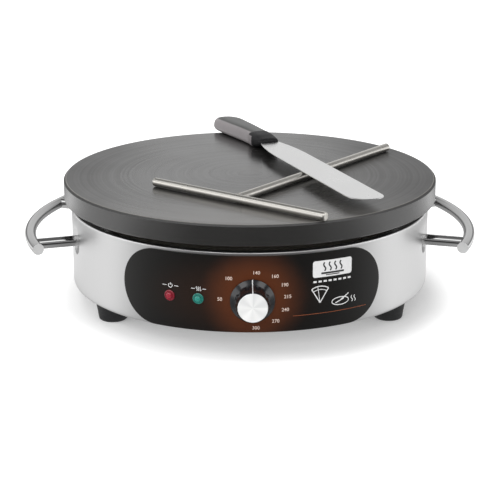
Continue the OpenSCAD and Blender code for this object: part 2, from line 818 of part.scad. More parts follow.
// Panel: a thin curved overlay with round ends, wrapped on the housing's front
module control_panel() {
    end_r = panel_h / 2;
    end_at = panel_len / 2 - end_r;
    flat = concat(arc(end_at, 0, end_r, -90, 90, panel_steps), arc(-end_at, 0, end_r, 90, 270, panel_steps));
    outline = [for (p = flat) [panel_r * sin(p[0] / panel_r * 180 / PI), p[1]]];
    color("black") difference() {
        intersection() {
            translate([0, 0, panel_z - panel_h]) difference() {
                cylinder(r = panel_r, h = 2 * panel_h, $fn = fine);
                translate([0, 0, -eps]) cylinder(r = panel_in_r, h = 2 * panel_h + 2 * eps, $fn = fine);
            }
            translate([0, 0, panel_z]) frontwards() linear_extrude(height = panel_r + eps) polygon(outline);
        }
        panel_holes();
    }
}

// Lamp lens: brim, raised domed centre and a stem that reaches its body
module lamp_lens(angle, colour) {
    r = lamp_d / 2;
    core = lamp_core_d / 2;
    stem = lamp_hole_d / 2 - hole_gap;
    low = lamp_front + touch_gap - panel_r;
    color(colour) round_at(-90 - angle, panel_r + touch_gap, knob_z) outwards() rotate_extrude() polygon([
        [0, low], [stem, low], [stem, 0], [r, 0], [r, lamp_brim_t * 0.5], [r - 0.6, lamp_brim_t],
        [core + 0.5, lamp_brim_t * 0.8], [core, lamp_brim_t], [core - 0.3, lamp_core_h - 1],
        [core * 0.7, lamp_core_h - 0.3], [0, lamp_core_h]
    ]);
}

// Lamp body behind the wall, with two contact tabs
module lamp_body(angle) {
    color("dimgray") round_at(-90 - angle, lamp_front - lamp_body_len, knob_z) union() {
        outwards() cylinder(d = lamp_body_d, h = lamp_body_len);
        for (side = [-1, 1])
            translate([-lamp_tab[0], side * lamp_tab_y - lamp_tab[1] / 2, -lamp_tab[2] / 2])
                cube([lamp_tab[0] + eps, lamp_tab[1], lamp_tab[2]]);
    }
}

// Handle: bowed bar on two posts, whose threaded ends pass through the housing's dimples
module handle(turn) {
    color("silver") rotate([0, 0, turn]) translate([0, 0, handle_z]) union() {
        translate([bow_x, 0, 0]) rotate([0, 0, -bow_angle])
            rotate_extrude(angle = 2 * bow_angle, $fn = fine) translate([bow_r, 0]) circle(d = bar_d, $fn = 48);
        for (a = post_angles) rotate([0, 0, a]) {
            translate([seat_r, 0, 0]) outwards() cylinder(d = post_d, h = post_end_r - seat_r);
            translate([seat_r - post_stud_len, 0, 0]) outwards() cylinder(d = post_stud_d, h = post_stud_len + eps);
        }
    }
}

module handle_washers() {
    color("silver") at_posts() translate([seat_r - housing_wall - handle_washer_t, 0, 0])
        outwards() ring(2 * post_stud_d, post_stud_d + 2 * hole_gap, handle_washer_t);
}

module handle_nuts() {
    color("silver") at_posts() translate([seat_r - housing_wall - handle_washer_t - handle_nut_h, 0, 0])
        outwards() nut(handle_nut_af, post_stud_d + 2 * thread_gap, handle_nut_h);
}

// Terminal block: three poles, each open at the top for its screw
module terminal_block() {
    color("ivory") difference() {
        translate([block_at[0] - block[0] / 2, block_face_y, base_z1]) cube(block);
        for (x = pole_x) translate([x, block_at[1], entry_z]) cylinder(d = pole_d, h = block[2]);
    }
}

module terminal_screws() {
    color("gold") for (x = pole_x) translate([x, block_at[1], entry_z])
        cylinder(d = pole_d - 2 * thread_gap, h = terminal_screw_h);
}

module earth_stud() {
    color("silver") translate([earth_at[0], earth_at[1], base_z0]) cylinder(d = earth_stud_d, h = earth_stud_len);
}

// Earth lug: ring under the nut, with a tongue and a barrel for the wire
module earth_lug() {
    w = lug_barrel[1];
    color("gold") translate([earth_at[0], earth_at[1], base_z1]) difference() {
        union() {
            cylinder(d = lug_d, h = lug_t);
            translate([-lug_reach, -w / 2, 0]) cube([lug_reach, w, lug_t]);
            translate([-lug_reach, -w / 2, 0]) cube(lug_barrel);
        }
        translate([0, 0, -eps]) cylinder(d = earth_stud_d + 2 * hole_gap, h = earth_stud_len);
    }
}

module earth_nut() {
    color("silver") translate([earth_at[0], earth_at[1], base_z1 + lug_t])
        nut(earth_nut_af, earth_stud_d + 2 * thread_gap, earth_nut_h);
}

// Wires, each from its terminal to its load; side keeps the tube's rings from twisting
module wire(route, d, colour) {
    color(colour) sweep(smooth(route, 3), d, [0.8, 0.1, 0.6]);
}

module wire_live() {
    wire([
        [pole_x[0], block_face_y - wire_gap, entry_z], [pole_x[0], block_face_y - 14, entry_z + 3], [48, 40, 45],
        [35, -20, 55], [22, -80, 64], [12, -122, tab_z], [tab_x, tab_end_y(), tab_z]
    ], wire_d, "brown");
}

function tab_end_y() = -thermostat_back + tab[1] + wire_gap;

module wire_switched() {
    p = lead_outer;
    wire([
        [-tab_x, tab_end_y(), tab_z], [-12, -118, 66], [-10, -60, 60], [0, 20, 56], [12, 84, 56],
        [p[0] - 3, p[1] - 20, 60], [p[0] - 0.5, p[1] - 2, lead_z - 8], [p[0], p[1], lead_z - wire_gap]
    ], wire_d, "black");
}

module wire_neutral() {
    p = lead_inner;
    wire([
        [pole_x[1], block_face_y - wire_gap, entry_z], [pole_x[1], block_face_y - 12, entry_z + 2], [58, 72, 42],
        [36, 74, 52], [p[0] + 6, p[1] - 4, 62], [p[0] + 0.5, p[1] - 1, lead_z - 7], [p[0], p[1], lead_z - wire_gap]
    ], wire_d, "blue");
}

module wire_earth() {
    wire([
        [pole_x[2], block_face_y - wire_gap, entry_z], [pole_x[2], block_face_y - 14, entry_z], [90, 66, entry_low_z + 2],
        [98, 60.5, entry_low_z], [earth_at[0] - lug_reach - wire_gap, earth_at[1], entry_low_z]
    ], wire_d, "green");
}

// Inner end of a lamp's tab, on its left or right
function lamp_tab_at(angle, side) =
    let (r = lamp_front - lamp_body_len - lamp_tab[0] - wire_gap, a = -90 - angle, y = side * lamp_tab_y)
    [r * cos(a) - y * sin(a), r * sin(a) + y * cos(a), knob_z];

module lamp_wires() {
    union() {
        wire([
            lamp_tab_at(lamp_red_angle, -1), [-62, -122, 50], [-34, -40, 38], [10, 40, 33], [40, 78, 30],
            [pole_x[0] - 3, block_face_y - wire_gap, entry_low_z]
        ], lamp_wire_d, "gray");
        wire([
            lamp_tab_at(lamp_red_angle, 1), [-56, -118, 44], [-26, -40, 32], [20, 30, 29], [52, 74, 29],
            [pole_x[1] - 3, block_face_y - wire_gap, entry_low_z]
        ], lamp_wire_d, "gray");
        wire([
            lamp_tab_at(lamp_green_angle, 1), [-38, -140, 50], [-26, -128, 46], [-14, -132, tab_low_z],
            [-tab_x, tab_end_y(), tab_low_z]
        ], lamp_wire_d, "gray");
        wire([
            lamp_tab_at(lamp_green_angle, -1), [-46, -134, 56], [-38, -90, 48], [-16, -30, 40], [32, 30, 36],
            [66, 72, 32], [pole_x[1] + 3, block_face_y - wire_gap, entry_low_z]
        ], lamp_wire_d, "gray");
    }
}

module at_gland(r) {
    round_at(gland_angle, r, gland_z) outwards() children();
}

// Gland body: thread through the wall, hexagonal flange and outer neck
module gland_body() {
    length = gland_neck_end - locknut_r + locknut_h + 1;
    color("dimgray") at_gland(locknut_r - locknut_h - 1) difference() {
        union() {
            cylinder(d = gland_d, h = gland_flange_r + 1 - locknut_r + locknut_h + 1);
            cylinder(d = gland_neck_d, h = length);
            translate([0, 0, gland_flange_r - locknut_r + locknut_h + 1])
                cylinder(d = gland_af / cos(30), h = gland_flange_t, $fn = 6);
        }
        translate([0, 0, -eps]) cylinder(d = gland_bore_d, h = length + 2 * eps);
    }
}

// Gland nut: hexagon that narrows to a round mouth over the seal
module gland_nut() {
    start = gland_flange_r + gland_flange_t + rest_gap;
    deep = gland_neck_end - start + touch_gap;
    mouth = gland_out - start;
    color("dimgray") at_gland(start) difference() {
        intersection() {
            cylinder(d = gland_nut_af / cos(30), h = mouth, $fn = 6);
            rotate_extrude() polygon([
                [0, 0], [gland_nut_af * 0.58, 0], [gland_nut_af * 0.58, deep - 2], [gland_nut_af * 0.36, mouth],
                [0, mouth]
            ]);
        }
        translate([0, 0, -eps]) cylinder(d = gland_neck_d + 2 * thread_gap, h = deep + eps);
        cylinder(d = cord_hole_d + 3, h = mouth + eps);
    }
}

// Rubber seal held between the neck and the nut's mouth
module gland_seal() {
    start = gland_flange_r + gland_flange_t;
    color("black") at_gland(start) ring(gland_bore_d - 2 * touch_gap, cord_hole_d, gland_neck_end - start);
}

module gland_locknut() {
    color("dimgray") at_gland(locknut_r - locknut_h) nut(locknut_af, gland_d + 2 * thread_gap, locknut_h);
}

// Places children on the knob's axis, with +Z towards the front and +Y up, from the knob's back
module at_knob() {
    translate([0, -knob_back, knob_z]) frontwards() children();
}

// Outline of the knob, grown outwards for the pointer line
function knob_outline(grow) = [
    [0, 0], [skirt_d / 2 + grow, 0], [skirt_d / 2 + grow, skirt_edge], [grip_d / 2 + 1 + grow, skirt_h - 1],
    [grip_d / 2 + grow, skirt_h], [grip_front_d / 2 + grow, knob_len - grip_shoulder],
    [grip_front_d / 2 - 1 + grow, knob_len - 0.6 + grow], [cap_d / 2 + 0.4, knob_len - 0.4 + grow], [0, knob_len - 0.4]
];

module flutes() {
    for (i = [0:flute_count - 1]) rotate([0, 0, 90 + 360 * (i + 0.5) / flute_count])
        translate([grip_d / 2 - flute_depth + flute_r, 0, skirt_h + flute_start]) cylinder(r = flute_r, h = knob_len);
}

// Shaft shape with its flat, grown outwards for the bore
module shaft_section(grow, from, length) {
    translate([0, 0, from]) intersection() {
        cylinder(d = shaft_d + 2 * grow, h = length);
        translate([-shaft_d, -shaft_d - shaft_flat + shaft_d / 2 + grow, -eps])
            cube([2 * shaft_d, shaft_d, length + 2 * eps]);
    }
}

// Knob: skirt and tapered fluted grip, bored for the shaft and recessed for the cap
module knob() {
    color("black") at_knob() difference() {
        rotate_extrude($fn = fine) polygon(knob_outline(0));
        flutes();
        shaft_section(thread_gap, -eps, knob_bore + eps);
        translate([0, 0, knob_len - cap_seat]) cylinder(d = cap_d + 2 * touch_gap, h = cap_t);
    }
}

module knob_cap() {
    r = cap_d / 2;
    color("silver") at_knob() translate([0, 0, knob_len - cap_seat])
        rotate_extrude($fn = fine) polygon([[0, 0], [r, 0], [r, cap_t - 0.6], [r - 0.5, cap_t - 0.1], [0, cap_t]]);
}

// Pointer: a raised white line from the skirt's edge along the grip
module knob_pointer() {
    color("white") at_knob() difference() {
        intersection() {
            rotate_extrude($fn = fine) polygon(knob_outline(pointer_proud));
            translate([-pointer_w / 2, cap_d / 2 + 0.45, skirt_edge - 0.4]) cube([pointer_w, skirt_d, knob_len]);
        }
        rotate_extrude($fn = fine) polygon(knob_outline(0));
    }
}

module thermostat_shaft() {
    round_end = knob_back - shaft_in;
    color("silver") translate([0, -shaft_in, knob_z]) frontwards() union() {
        cylinder(d = shaft_d, h = round_end);
        shaft_section(0, round_end - eps, shaft_out - knob_back + eps);
    }
}

// Places children with +X along the spreader's grip, at the crossbar's middle
module at_spreader() {
    translate([spreader_x, spreader_y, tube_z]) rotate([0, 0, spreader_turn]) children();
}

module spreader_crossbar() {
    color("silver") at_spreader() translate([0, cross_len / 2 - plug_t, 0]) frontwards()
        ring(tube_d, tube_d - 2 * tube_wall, cross_len - 2 * plug_t);
}

// Grip tube, coped at the crossbar
module spreader_grip() {
    color("silver") at_spreader() difference() {
        outwards() ring(tube_d, tube_d - 2 * tube_wall, grip_len - plug_t);
        translate([0, 2 * tube_d, 0]) frontwards() cylinder(d = tube_d + 2 * touch_gap, h = 4 * tube_d);
    }
}

// Web: gusset with hollow edges on both sides of the grip where it meets the crossbar
module spreader_web() {
    reach = tube_r + 1 + web_r;
    color("silver") at_spreader() difference() {
        translate([tube_r - 1, -reach, -web_t / 2]) cube([reach - tube_r + 1, 2 * reach, web_t]);
        for (side = [-1, 1]) translate([reach, side * reach, -web_t]) cylinder(r = web_r, h = 2 * web_t);
        translate([0, reach + eps, 0]) frontwards() cylinder(d = tube_d + 2 * touch_gap, h = 2 * reach + 2 * eps);
        outwards() cylinder(d = tube_d + 2 * touch_gap, h = grip_len);
    }
}

module spreader_plugs() {
    lip = plug_t;
    stem_d = tube_d - 2 * tube_wall - 2 * touch_gap;
    color("gainsboro") at_spreader() {
        for (side = [-1, 1]) translate([0, side * (cross_len / 2 - lip), 0]) rotate([-90 * side, 0, 0]) {
            cylinder(d = tube_d, h = lip);
            translate([0, 0, -6]) cylinder(d = stem_d, h = 6 + eps);
        }
        translate([grip_len - lip, 0, 0]) outwards() {
            cylinder(d = tube_d, h = lip);
            translate([0, 0, -6]) cylinder(d = stem_d, h = 6 + eps);
        }
    }
}

// Places children with +X along the blade, at the bolster's front, on the blade's middle plane
module at_spatula() {
    translate([spatula_x, spatula_y, blade_z]) rotate([0, 0, spatula_turn]) children();
}

// Blade: flat and flexible, narrow at the bolster, with an unevenly rounded tip and a hidden tang
module spatula_blade() {
    half = blade_w / 2;
    root = blade_root_w / 2;
    near = [[0, -root], [17, -root - 3.5], [38, -half + 1], [60, -half]];
    far = [[60, half], [38, half - 1], [17, root + 3.5], [0, root]];
    outline = concat(near,
        arc(blade_len - tip_near_r, -half + tip_near_r, tip_near_r, -90, 0, 20),
        arc(blade_len - tip_far_r, half - tip_far_r, tip_far_r, 0, 90, 14), far);
    color("gainsboro") at_spatula() union() {
        translate([0, 0, -blade_t / 2]) linear_extrude(height = blade_t) polygon(outline);
        translate([-tang_len, -tang_w / 2, -blade_t / 2]) cube([tang_len + eps, tang_w, blade_t]);
    }
}

// Slot for the tang
module tang_slot() {
    translate([-tang_len - touch_gap, -tang_w / 2 - touch_gap, -blade_t / 2 - touch_gap])
        cube([tang_len + 2 * eps + 1, tang_w + 2 * touch_gap, blade_t + 2 * touch_gap]);
}

// Round puck with chamfered edges, from the plate's level up
module puck(x, y, r, h, edge) {
    translate([x, y, grip_z0 - blade_z]) {
        translate([0, 0, edge]) cylinder(r = r, h = h - 2 * edge, $fn = 32);
        cylinder(r = r - edge, h = h, $fn = 32);
    }
}

// Handle: fuller towards the butt and leaning to the near side
module spatula_handle() {
    back = -bolster_len - spatula_grip_len;
    h = spatula_grip_h;
    color("dimgray") at_spatula() difference() {
        hull() {
            puck(-bolster_len + 7, -3.5, 7, h, 2);
            puck(-bolster_len + 7, 3.5, 7, h, 2);
            puck(back + 14, -8, 14, h, 3.5);
            puck(back + 15, -1, 12, h, 3.5);
        }
        translate([-bolster_len, -50, -50]) cube(100);
        tang_slot();
    }
}

// Bolster: darker block that slopes down to the blade
module spatula_bolster() {
    rear = -bolster_len + 8;
    nose = -8 - bolster_tip;
    color("black") at_spatula() difference() {
        hull() {
            for (side = [-1, 1]) puck(rear, side * 5, 8, bolster_h, 1.5);
            for (side = [-1, 1]) translate([nose, side * 4, -bolster_under]) cylinder(r = 8, h = bolster_nose_h, $fn = 32);
            for (side = [-1, 1]) translate([nose + bolster_tip, side * 4, -bolster_under])
                cylinder(r = 8, h = bolster_nose_h - bolster_tip, $fn = 32);
        }
        translate([-bolster_len - 100, -50, -50]) cube(100);
        tang_slot();
    }
}

cooking_plate();
housing_shell();
base_plate();
base_screws();
foot(0);  // foot_front_left
foot(1);  // foot_front_right
foot(2);  // foot_rear
plate_studs();
stud_washers();
stud_nuts();
lower_spacers();
upper_spacers();
heat_shield();
insulation_disc();
heating_element();
element_clamp(0);  // element_clamp_left
element_clamp(1);  // element_clamp_right
element_clamp(2);  // element_clamp_front
element_clamp_screws();
thermostat_bulb();
bulb_clip();
bulb_clip_screw();
thermostat_body();
thermostat_bracket();
thermostat_screws();
bracket_screws();
control_panel();
lamp_lens(lamp_red_angle, "firebrick");  // lamp_lens_red
lamp_lens(lamp_green_angle, "teal");  // lamp_lens_green
lamp_body(lamp_red_angle);  // lamp_body_red
lamp_body(lamp_green_angle);  // lamp_body_green
handle(handle_turn[1]);  // handle_left
handle(handle_turn[0]);  // handle_right
handle_washers();
handle_nuts();
terminal_block();
terminal_screws();
earth_stud();
earth_lug();
earth_nut();
wire_live();
wire_switched();
wire_neutral();
wire_earth();
lamp_wires();
gland_body();
gland_nut();
gland_seal();
gland_locknut();
knob();
knob_cap();
knob_pointer();
thermostat_shaft();
spreader_crossbar();
spreader_grip();
spreader_web();
spreader_plugs();
spatula_blade();
spatula_handle();
spatula_bolster();
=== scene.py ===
"""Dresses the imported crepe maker: plate, drum, panel, knob, handles, feet, spreader and spatula, and its studio."""

import logging
import math
from contextlib import contextmanager
from dataclasses import dataclass
from enum import Enum
from typing import Any, Iterable, Iterator, Sequence

import bmesh
import bpy
from mathutils import Matrix, Vector

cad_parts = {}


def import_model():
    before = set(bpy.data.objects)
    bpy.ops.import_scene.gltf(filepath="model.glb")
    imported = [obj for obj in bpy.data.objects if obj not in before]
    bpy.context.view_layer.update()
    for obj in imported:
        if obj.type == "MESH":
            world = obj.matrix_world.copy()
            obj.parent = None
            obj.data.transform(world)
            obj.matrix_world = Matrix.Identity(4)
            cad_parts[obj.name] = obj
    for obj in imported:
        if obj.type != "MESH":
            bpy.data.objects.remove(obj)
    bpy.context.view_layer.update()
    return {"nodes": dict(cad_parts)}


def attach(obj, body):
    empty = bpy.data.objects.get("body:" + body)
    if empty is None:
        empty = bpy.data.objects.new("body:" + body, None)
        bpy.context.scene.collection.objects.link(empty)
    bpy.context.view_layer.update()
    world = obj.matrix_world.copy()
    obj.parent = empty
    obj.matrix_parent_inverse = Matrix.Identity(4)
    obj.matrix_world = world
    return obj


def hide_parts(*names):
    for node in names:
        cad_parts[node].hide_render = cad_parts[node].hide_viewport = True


LOG = logging.getLogger("crepe_maker")
MM = 0.001
PLATE_R = 200.0
PLATE_TOP = 135.5
PANEL_R = 193.55
KNOB_Z = 57.0
FOOT_ANGLES = (-150.0, -30.0, 90.0)
FOOT_RING_R = 167.0
FRONT_Y = -150.0
WHITE = (1.0, 1.0, 1.0)

Point2 = tuple[float, float]
Point3 = tuple[float, float, float]
Colour = tuple[float, float, float]
Stops = tuple[tuple[float, Colour], ...]
Face = tuple[int, ...]
Solid = tuple[list[Point3], list[Face]]
Values = dict[Any, Any]
Item = bpy.types.Object
GeoSocket = bpy.types.NodeSocket


def toned(colour: Colour, factor: float, lift: float = 0.0, most: float = 1.0) -> Colour:
    """A colour made darker or brighter, with no part above the most."""
    return tuple(min(part * factor + lift, most) for part in colour)


def greys(*stops: Point2) -> Stops:
    """Stops of a grey ramp, from pairs of place and level."""
    return tuple((place, (level, level, level)) for place, level in stops)


# ---------------------------------------------------------------- shader maths


class Signal:
    """One shader socket that can be used in arithmetic."""

    def __init__(self, net: "Net", socket: bpy.types.NodeSocket) -> None:
        """Wraps a socket of the given net."""
        self.net = net
        self.socket = socket

    def __add__(self, other: "Signal | float") -> "Signal":
        """Sum."""
        return self.net.math("ADD", self, other)

    def __radd__(self, other: float) -> "Signal":
        """Sum with a plain number on the left."""
        return self.net.math("ADD", other, self)

    def __sub__(self, other: "Signal | float") -> "Signal":
        """Difference."""
        return self.net.math("SUBTRACT", self, other)

    def __rsub__(self, other: float) -> "Signal":
        """Difference with a plain number on the left."""
        return self.net.math("SUBTRACT", other, self)

    def __mul__(self, other: "Signal | float") -> "Signal":
        """Product."""
        return self.net.math("MULTIPLY", self, other)

    def __truediv__(self, other: "Signal | float") -> "Signal":
        """Quotient."""
        return self.net.math("DIVIDE", self, other)


class Net:
    """The node tree of one material, with short calls for the nodes that the finishes need."""

    def __init__(self, tree: bpy.types.NodeTree) -> None:
        """Empties the tree."""
        self.tree = tree
        tree.nodes.clear()

    def node(self, kind: str, settings: Values | None = None, inputs: Values | None = None) -> bpy.types.Node:
        """Adds any node.

        Args:
            kind: the node's type, such as "ShaderNodeTexNoise".
            settings: attributes set first; "stops" gives a ramp's stops as (place, colour).
            inputs: values or signals of its sockets, by name or index.

        Returns:
            The new node.
        """
        made = self.tree.nodes.new(kind)
        for key, value in (settings or {}).items():
            if key == "stops":
                ramp = made.color_ramp
                while len(ramp.elements) < len(value):
                    ramp.elements.new(1.0)
                for element, (place, colour) in zip(ramp.elements, value):
                    element.position = place
                    element.color = (*colour, 1.0)
            else:
                setattr(made, key, value)
        for key, value in (inputs or {}).items():
            socket = made.inputs[key]
            if isinstance(value, Signal):
                self.tree.links.new(value.socket, socket)
            elif isinstance(value, tuple) and len(value) == 3 and socket.type == "RGBA":
                socket.default_value = (*value, 1.0)
            else:
                socket.default_value = value
        return made

    def out(self, node: bpy.types.Node, name: str | int = 0) -> Signal:
        """One output of a node as a signal."""
        return Signal(self, node.outputs[name])

    def math(self, operation: str, *values: "Signal | float") -> Signal:
        """A Math node on signals and numbers."""
        return self.out(self.node("ShaderNodeMath", {"operation": operation}, dict(enumerate(values))))

    def vector(self, operation: str, first: Signal, second: "Signal | Point3") -> Signal:
        """A Vector Math node."""
        return self.out(self.node("ShaderNodeVectorMath", {"operation": operation}, {0: first, 1: second}))

    def place(self, centre: Point3 | None = None) -> Signal:
        """Object coordinates in metres, from a centre in millimetres if one is given."""
        spot = self.out(self.node("ShaderNodeTexCoord"), "Object")
        return spot if centre is None else self.vector("SUBTRACT", spot, tuple(part * MM for part in centre))

    def parts(self, vector: Signal) -> tuple[Signal, Signal, Signal]:
        """The three parts of a vector."""
        split = self.node("ShaderNodeSeparateXYZ", {}, {0: vector})
        return self.out(split, 0), self.out(split, 1), self.out(split, 2)

    def length(self, first: Signal, *others: Signal) -> Signal:
        """Length of a vector, from its parts."""
        total = first * first
        for part in others:
            total = total + part * part
        return self.math("SQRT", total)

    def unsigned(self, value: Signal) -> Signal:
        """A value without its sign."""
        return self.math("ABSOLUTE", value)

    def heading(self, x: Signal, y: Signal) -> Signal:
        """Direction round the object: 0 in front, 0.5 at either side, 1 behind."""
        return self.math("ARCTAN2", self.unsigned(x), y * -1.0) / math.pi

    def joined(self, x: "Signal | float", y: "Signal | float", z: "Signal | float") -> Signal:
        """A vector from its three parts."""
        return self.out(self.node("ShaderNodeCombineXYZ", {}, {0: x, 1: y, 2: z}))

    def noise(self, vector: Signal, scale: float, detail: float = 3.0, roughness: float = 0.5) -> Signal:
        """Noise from 0 to 1."""
        values = {"Vector": vector, "Scale": scale, "Detail": detail, "Roughness": roughness}
        return self.out(self.node("ShaderNodeTexNoise", {}, values), 0)

    def ramp(self, factor: Signal, stops: Stops) -> Signal:
        """A colour ramp."""
        return self.out(self.node("ShaderNodeValToRGB", {"stops": stops}, {"Fac": factor}))

    def span(self, value: Signal, low: float, high: float, to_low: float = 0.0, to_high: float = 1.0) -> Signal:
        """Maps low..high to another range, smoothly and clamped."""
        values = {"Value": value, "From Min": low, "From Max": high, "To Min": to_low, "To Max": to_high}
        return self.out(self.node("ShaderNodeMapRange", {"interpolation_type": "SMOOTHSTEP"}, values))

    def step(self, value: Signal, low: float, high: float, to_low: float = 0.0, to_high: float = 1.0) -> Signal:
        """Maps low..high, given in millimetres, to another range."""
        return self.span(value, low * MM, high * MM, to_low, to_high)

    def mix(self, factor: "Signal | float", first: "Signal | Colour", second: "Signal | Colour") -> Signal:
        """Mixes two colours."""
        return self.out(self.node("ShaderNodeMix", {"data_type": "RGBA"}, {0: factor, 6: first, 7: second}), 2)

    def bump(self, height: Signal, depth: float, strength: float = 1.0) -> Signal:
        """A normal from a height between 0 and 1; depth is in millimetres."""
        values = {"Height": height, "Distance": depth * MM, "Strength": strength}
        return self.out(self.node("ShaderNodeBump", {}, values))

    def shader(self, kind: str, inputs: Values) -> Signal:
        """A shader node."""
        return self.out(self.node(kind, {}, inputs))

    def either(self, factor: Signal, first: Signal, second: Signal) -> Signal:
        """Mixes two shaders."""
        return self.shader("ShaderNodeMixShader", {0: factor, 1: first, 2: second})

    def by_ray(self, plain: Signal, mirrored: Signal, seen: Signal) -> Signal:
        """Picks a shader by ray: one for light, one that surfaces mirror and one that the camera sees."""
        rays = self.node("ShaderNodeLightPath")
        other = self.either(self.out(rays, "Is Glossy Ray"), plain, mirrored)
        return self.either(self.out(rays, "Is Camera Ray"), other, seen)

    def surface(self, **values: "Signal | float | Colour") -> None:
        """Ends the tree in a Principled shader.

        Args:
            values: socket values, with underscores for spaces.
        """
        inputs = {key.replace("_", " "): value for key, value in values.items()}
        self.node("ShaderNodeOutputMaterial", {}, {"Surface": self.shader("ShaderNodeBsdfPrincipled", inputs)})


@dataclass(frozen=True)
class Finish:
    """A finish that objects wear; each kind draws its own nodes."""

    name: str

    def draw(self, net: Net) -> None:
        """Draws the nodes of the finish."""
        raise NotImplementedError

    def material(self) -> bpy.types.Material:
        """The Blender material of this finish, made once."""
        own = f"{self.name}_finish"
        found = bpy.data.materials.get(own)
        if found is None:
            found = bpy.data.materials.new(own)
            found.use_nodes = True
            self.draw(Net(found.node_tree))
        return found

    def dress(self, *objects: Item) -> None:
        """Puts the finish on objects, in place of what they wore."""
        for item in objects:
            item.data.materials.clear()
            item.data.materials.append(self.material())


class Lay(Enum):
    """How the marks of a tool lie on a metal surface."""

    ROUND = "round"
    NONE = "none"


@dataclass(frozen=True)
class CastPlate(Finish):
    """Seasoned cast plate: turned rings, cloudy patches, a worn rim with a painted highlight, painted shade on the
    chamfer and a painted sheen at the front.
    """

    colour: Colour = (0.016, 0.0155, 0.015)
    # painted sheen: the lighter colour of the front of the top
    front: Colour = (0.075, 0.071, 0.066)
    # painted shade: the darker colour of the bevelled top edge
    chamfer: Colour = (0.008, 0.008, 0.008)
    # worn rim metal, lighter and partly metallic, also a painted highlight along the top edge
    worn: Colour = (0.3, 0.29, 0.27)
    roughness: float = 0.22
    fine_rings: float = 420.0
    broad_rings: float = 130.0

    def draw(self, net: Net) -> None:
        """Draws rings by distance from the axis, patches, the rim's worn edge with its painted highlight, the painted
        chamfer shade and the painted front sheen.
        """
        place = net.place()
        x, y, z = net.parts(place)
        radius = net.length(x, y)
        flat = net.joined(x, y, 0.0)
        out = radius + net.noise(flat, 6.0, 1.0) * 0.0012
        rings = net.span(net.noise(net.joined(out * self.fine_rings, 0.0, 0.0), 1.0, 3.0, 0.7), 0.3, 0.7)
        broad = net.span(net.noise(net.joined(out * self.broad_rings, 0.0, 0.0), 1.0, 2.0), 0.3, 0.7)
        cloud = net.noise(flat, 7.0, 4.0, 0.6)
        grain = net.noise(place, 900.0, 2.0)

        top = net.step(z, PLATE_TOP - 1.0, PLATE_TOP - 0.3)
        # painted sheen: the front of the top is mixed towards a lighter colour
        near = net.step(y, -190.0, -80.0, 0.85, 0.0) * top
        dull = net.step(net.unsigned(x + 0.02), 50.0, 200.0) * top
        # painted shade: the bevelled top edge is mixed towards a darker colour, and is rougher
        cut = net.step(radius, PLATE_R - 2.5, PLATE_R - 1.9) * net.step(z, PLATE_TOP - 2.4, PLATE_TOP - 1.9)
        # a thin ring at the top edge, worn and painted bright as a highlight
        inside = net.step(radius, PLATE_R - 2.9, PLATE_R - 2.4)
        outside = net.step(radius, PLATE_R - 1.8, PLATE_R - 1.3)
        edge = inside * (1.0 - outside) * net.step(z, PLATE_TOP - 0.5, PLATE_TOP - 0.1)

        shade = net.span(cloud, 0.3, 0.75) * 0.4 + rings * 0.35 + broad * 0.25
        base = net.mix(near, net.mix(shade, self.colour, toned(self.colour, 1.9)), self.front)
        base = net.mix(cut * 0.7, base, self.chamfer)
        marks = ((rings - 0.5) * 0.09 + (broad - 0.5) * 0.05) * top
        rough = self.roughness + dull * 0.20 + cut * 0.36 + (cloud - 0.5) * 0.24 + marks
        height = rings * 0.6 + broad * 0.12 + grain * 0.15
        net.surface(
            Base_Color=net.mix(edge * 0.8, base, self.worn), Roughness=rough, IOR=1.9, Metallic=edge * 0.6,
            Normal=net.bump(height, 0.02, 0.28),
        )


@dataclass(frozen=True)
class SheetMetal(Finish):
    """Metal sheet or bar with the marks of brushing or turning."""

    colour: Colour = (0.75, 0.75, 0.75)
    roughness: float = 0.3
    lay: Lay = Lay.ROUND
    depth: float = 0.004
    smudge: float = 0.08
    grain: float = 0.14

    def draw(self, net: Net) -> None:
        """Draws streaks that follow the lay, and faint smudges."""
        place = net.place()
        if self.lay is Lay.ROUND:
            x, y, z = net.parts(place)
            across = (z + net.length(x, y) * 0.7) * 2600.0
            streak = net.noise(net.joined(x * 14.0, y * 14.0, across), 1.0, 3.0, 0.65)
        else:
            streak = net.noise(place, 260.0, 3.0)
        patch = net.noise(place, 16.0, 4.0, 0.6)
        tone = (streak - 0.5) * 0.12 + (patch - 0.5) * 0.06
        base = net.mix(tone + 0.5, toned(self.colour, 0.82), toned(self.colour, 1.16, most=0.98))
        rough = self.roughness + (streak - 0.5) * self.grain + (patch - 0.5) * self.smudge
        net.surface(Base_Color=base, Metallic=1.0, Roughness=rough, Normal=net.bump(streak, self.depth, 0.35))


@dataclass(frozen=True)
class Moulding(Finish):
    """Moulded plastic or rubber with a fine grain and handling marks."""

    colour: Colour = (0.02, 0.02, 0.02)
    roughness: float = 0.4
    grain: float = 0.02
    coat: float = 0.0
    sheen: float = 0.5

    coat_roughness: float = 0.08
    patchy: float = 0.12

    def tint(self, net: Net, slow: Signal) -> Signal:
        """The colour, with its slow changes."""
        return net.mix(slow, toned(self.colour, 0.85), toned(self.colour, 1.2))

    def draw(self, net: Net) -> None:
        """Draws the moulded grain and slow changes of sheen."""
        place = net.place()
        fine = net.noise(place, 1400.0, 2.0)
        slow = net.noise(place, 30.0, 3.0, 0.6)
        rough = self.roughness + (slow - 0.5) * self.patchy + (fine - 0.5) * 0.06
        net.surface(
            Base_Color=self.tint(net, slow), Roughness=rough, Coat_Weight=self.coat, Coat_Roughness=self.coat_roughness,
            Specular_IOR_Level=self.sheen, Normal=net.bump(fine, self.grain, 0.4),
        )


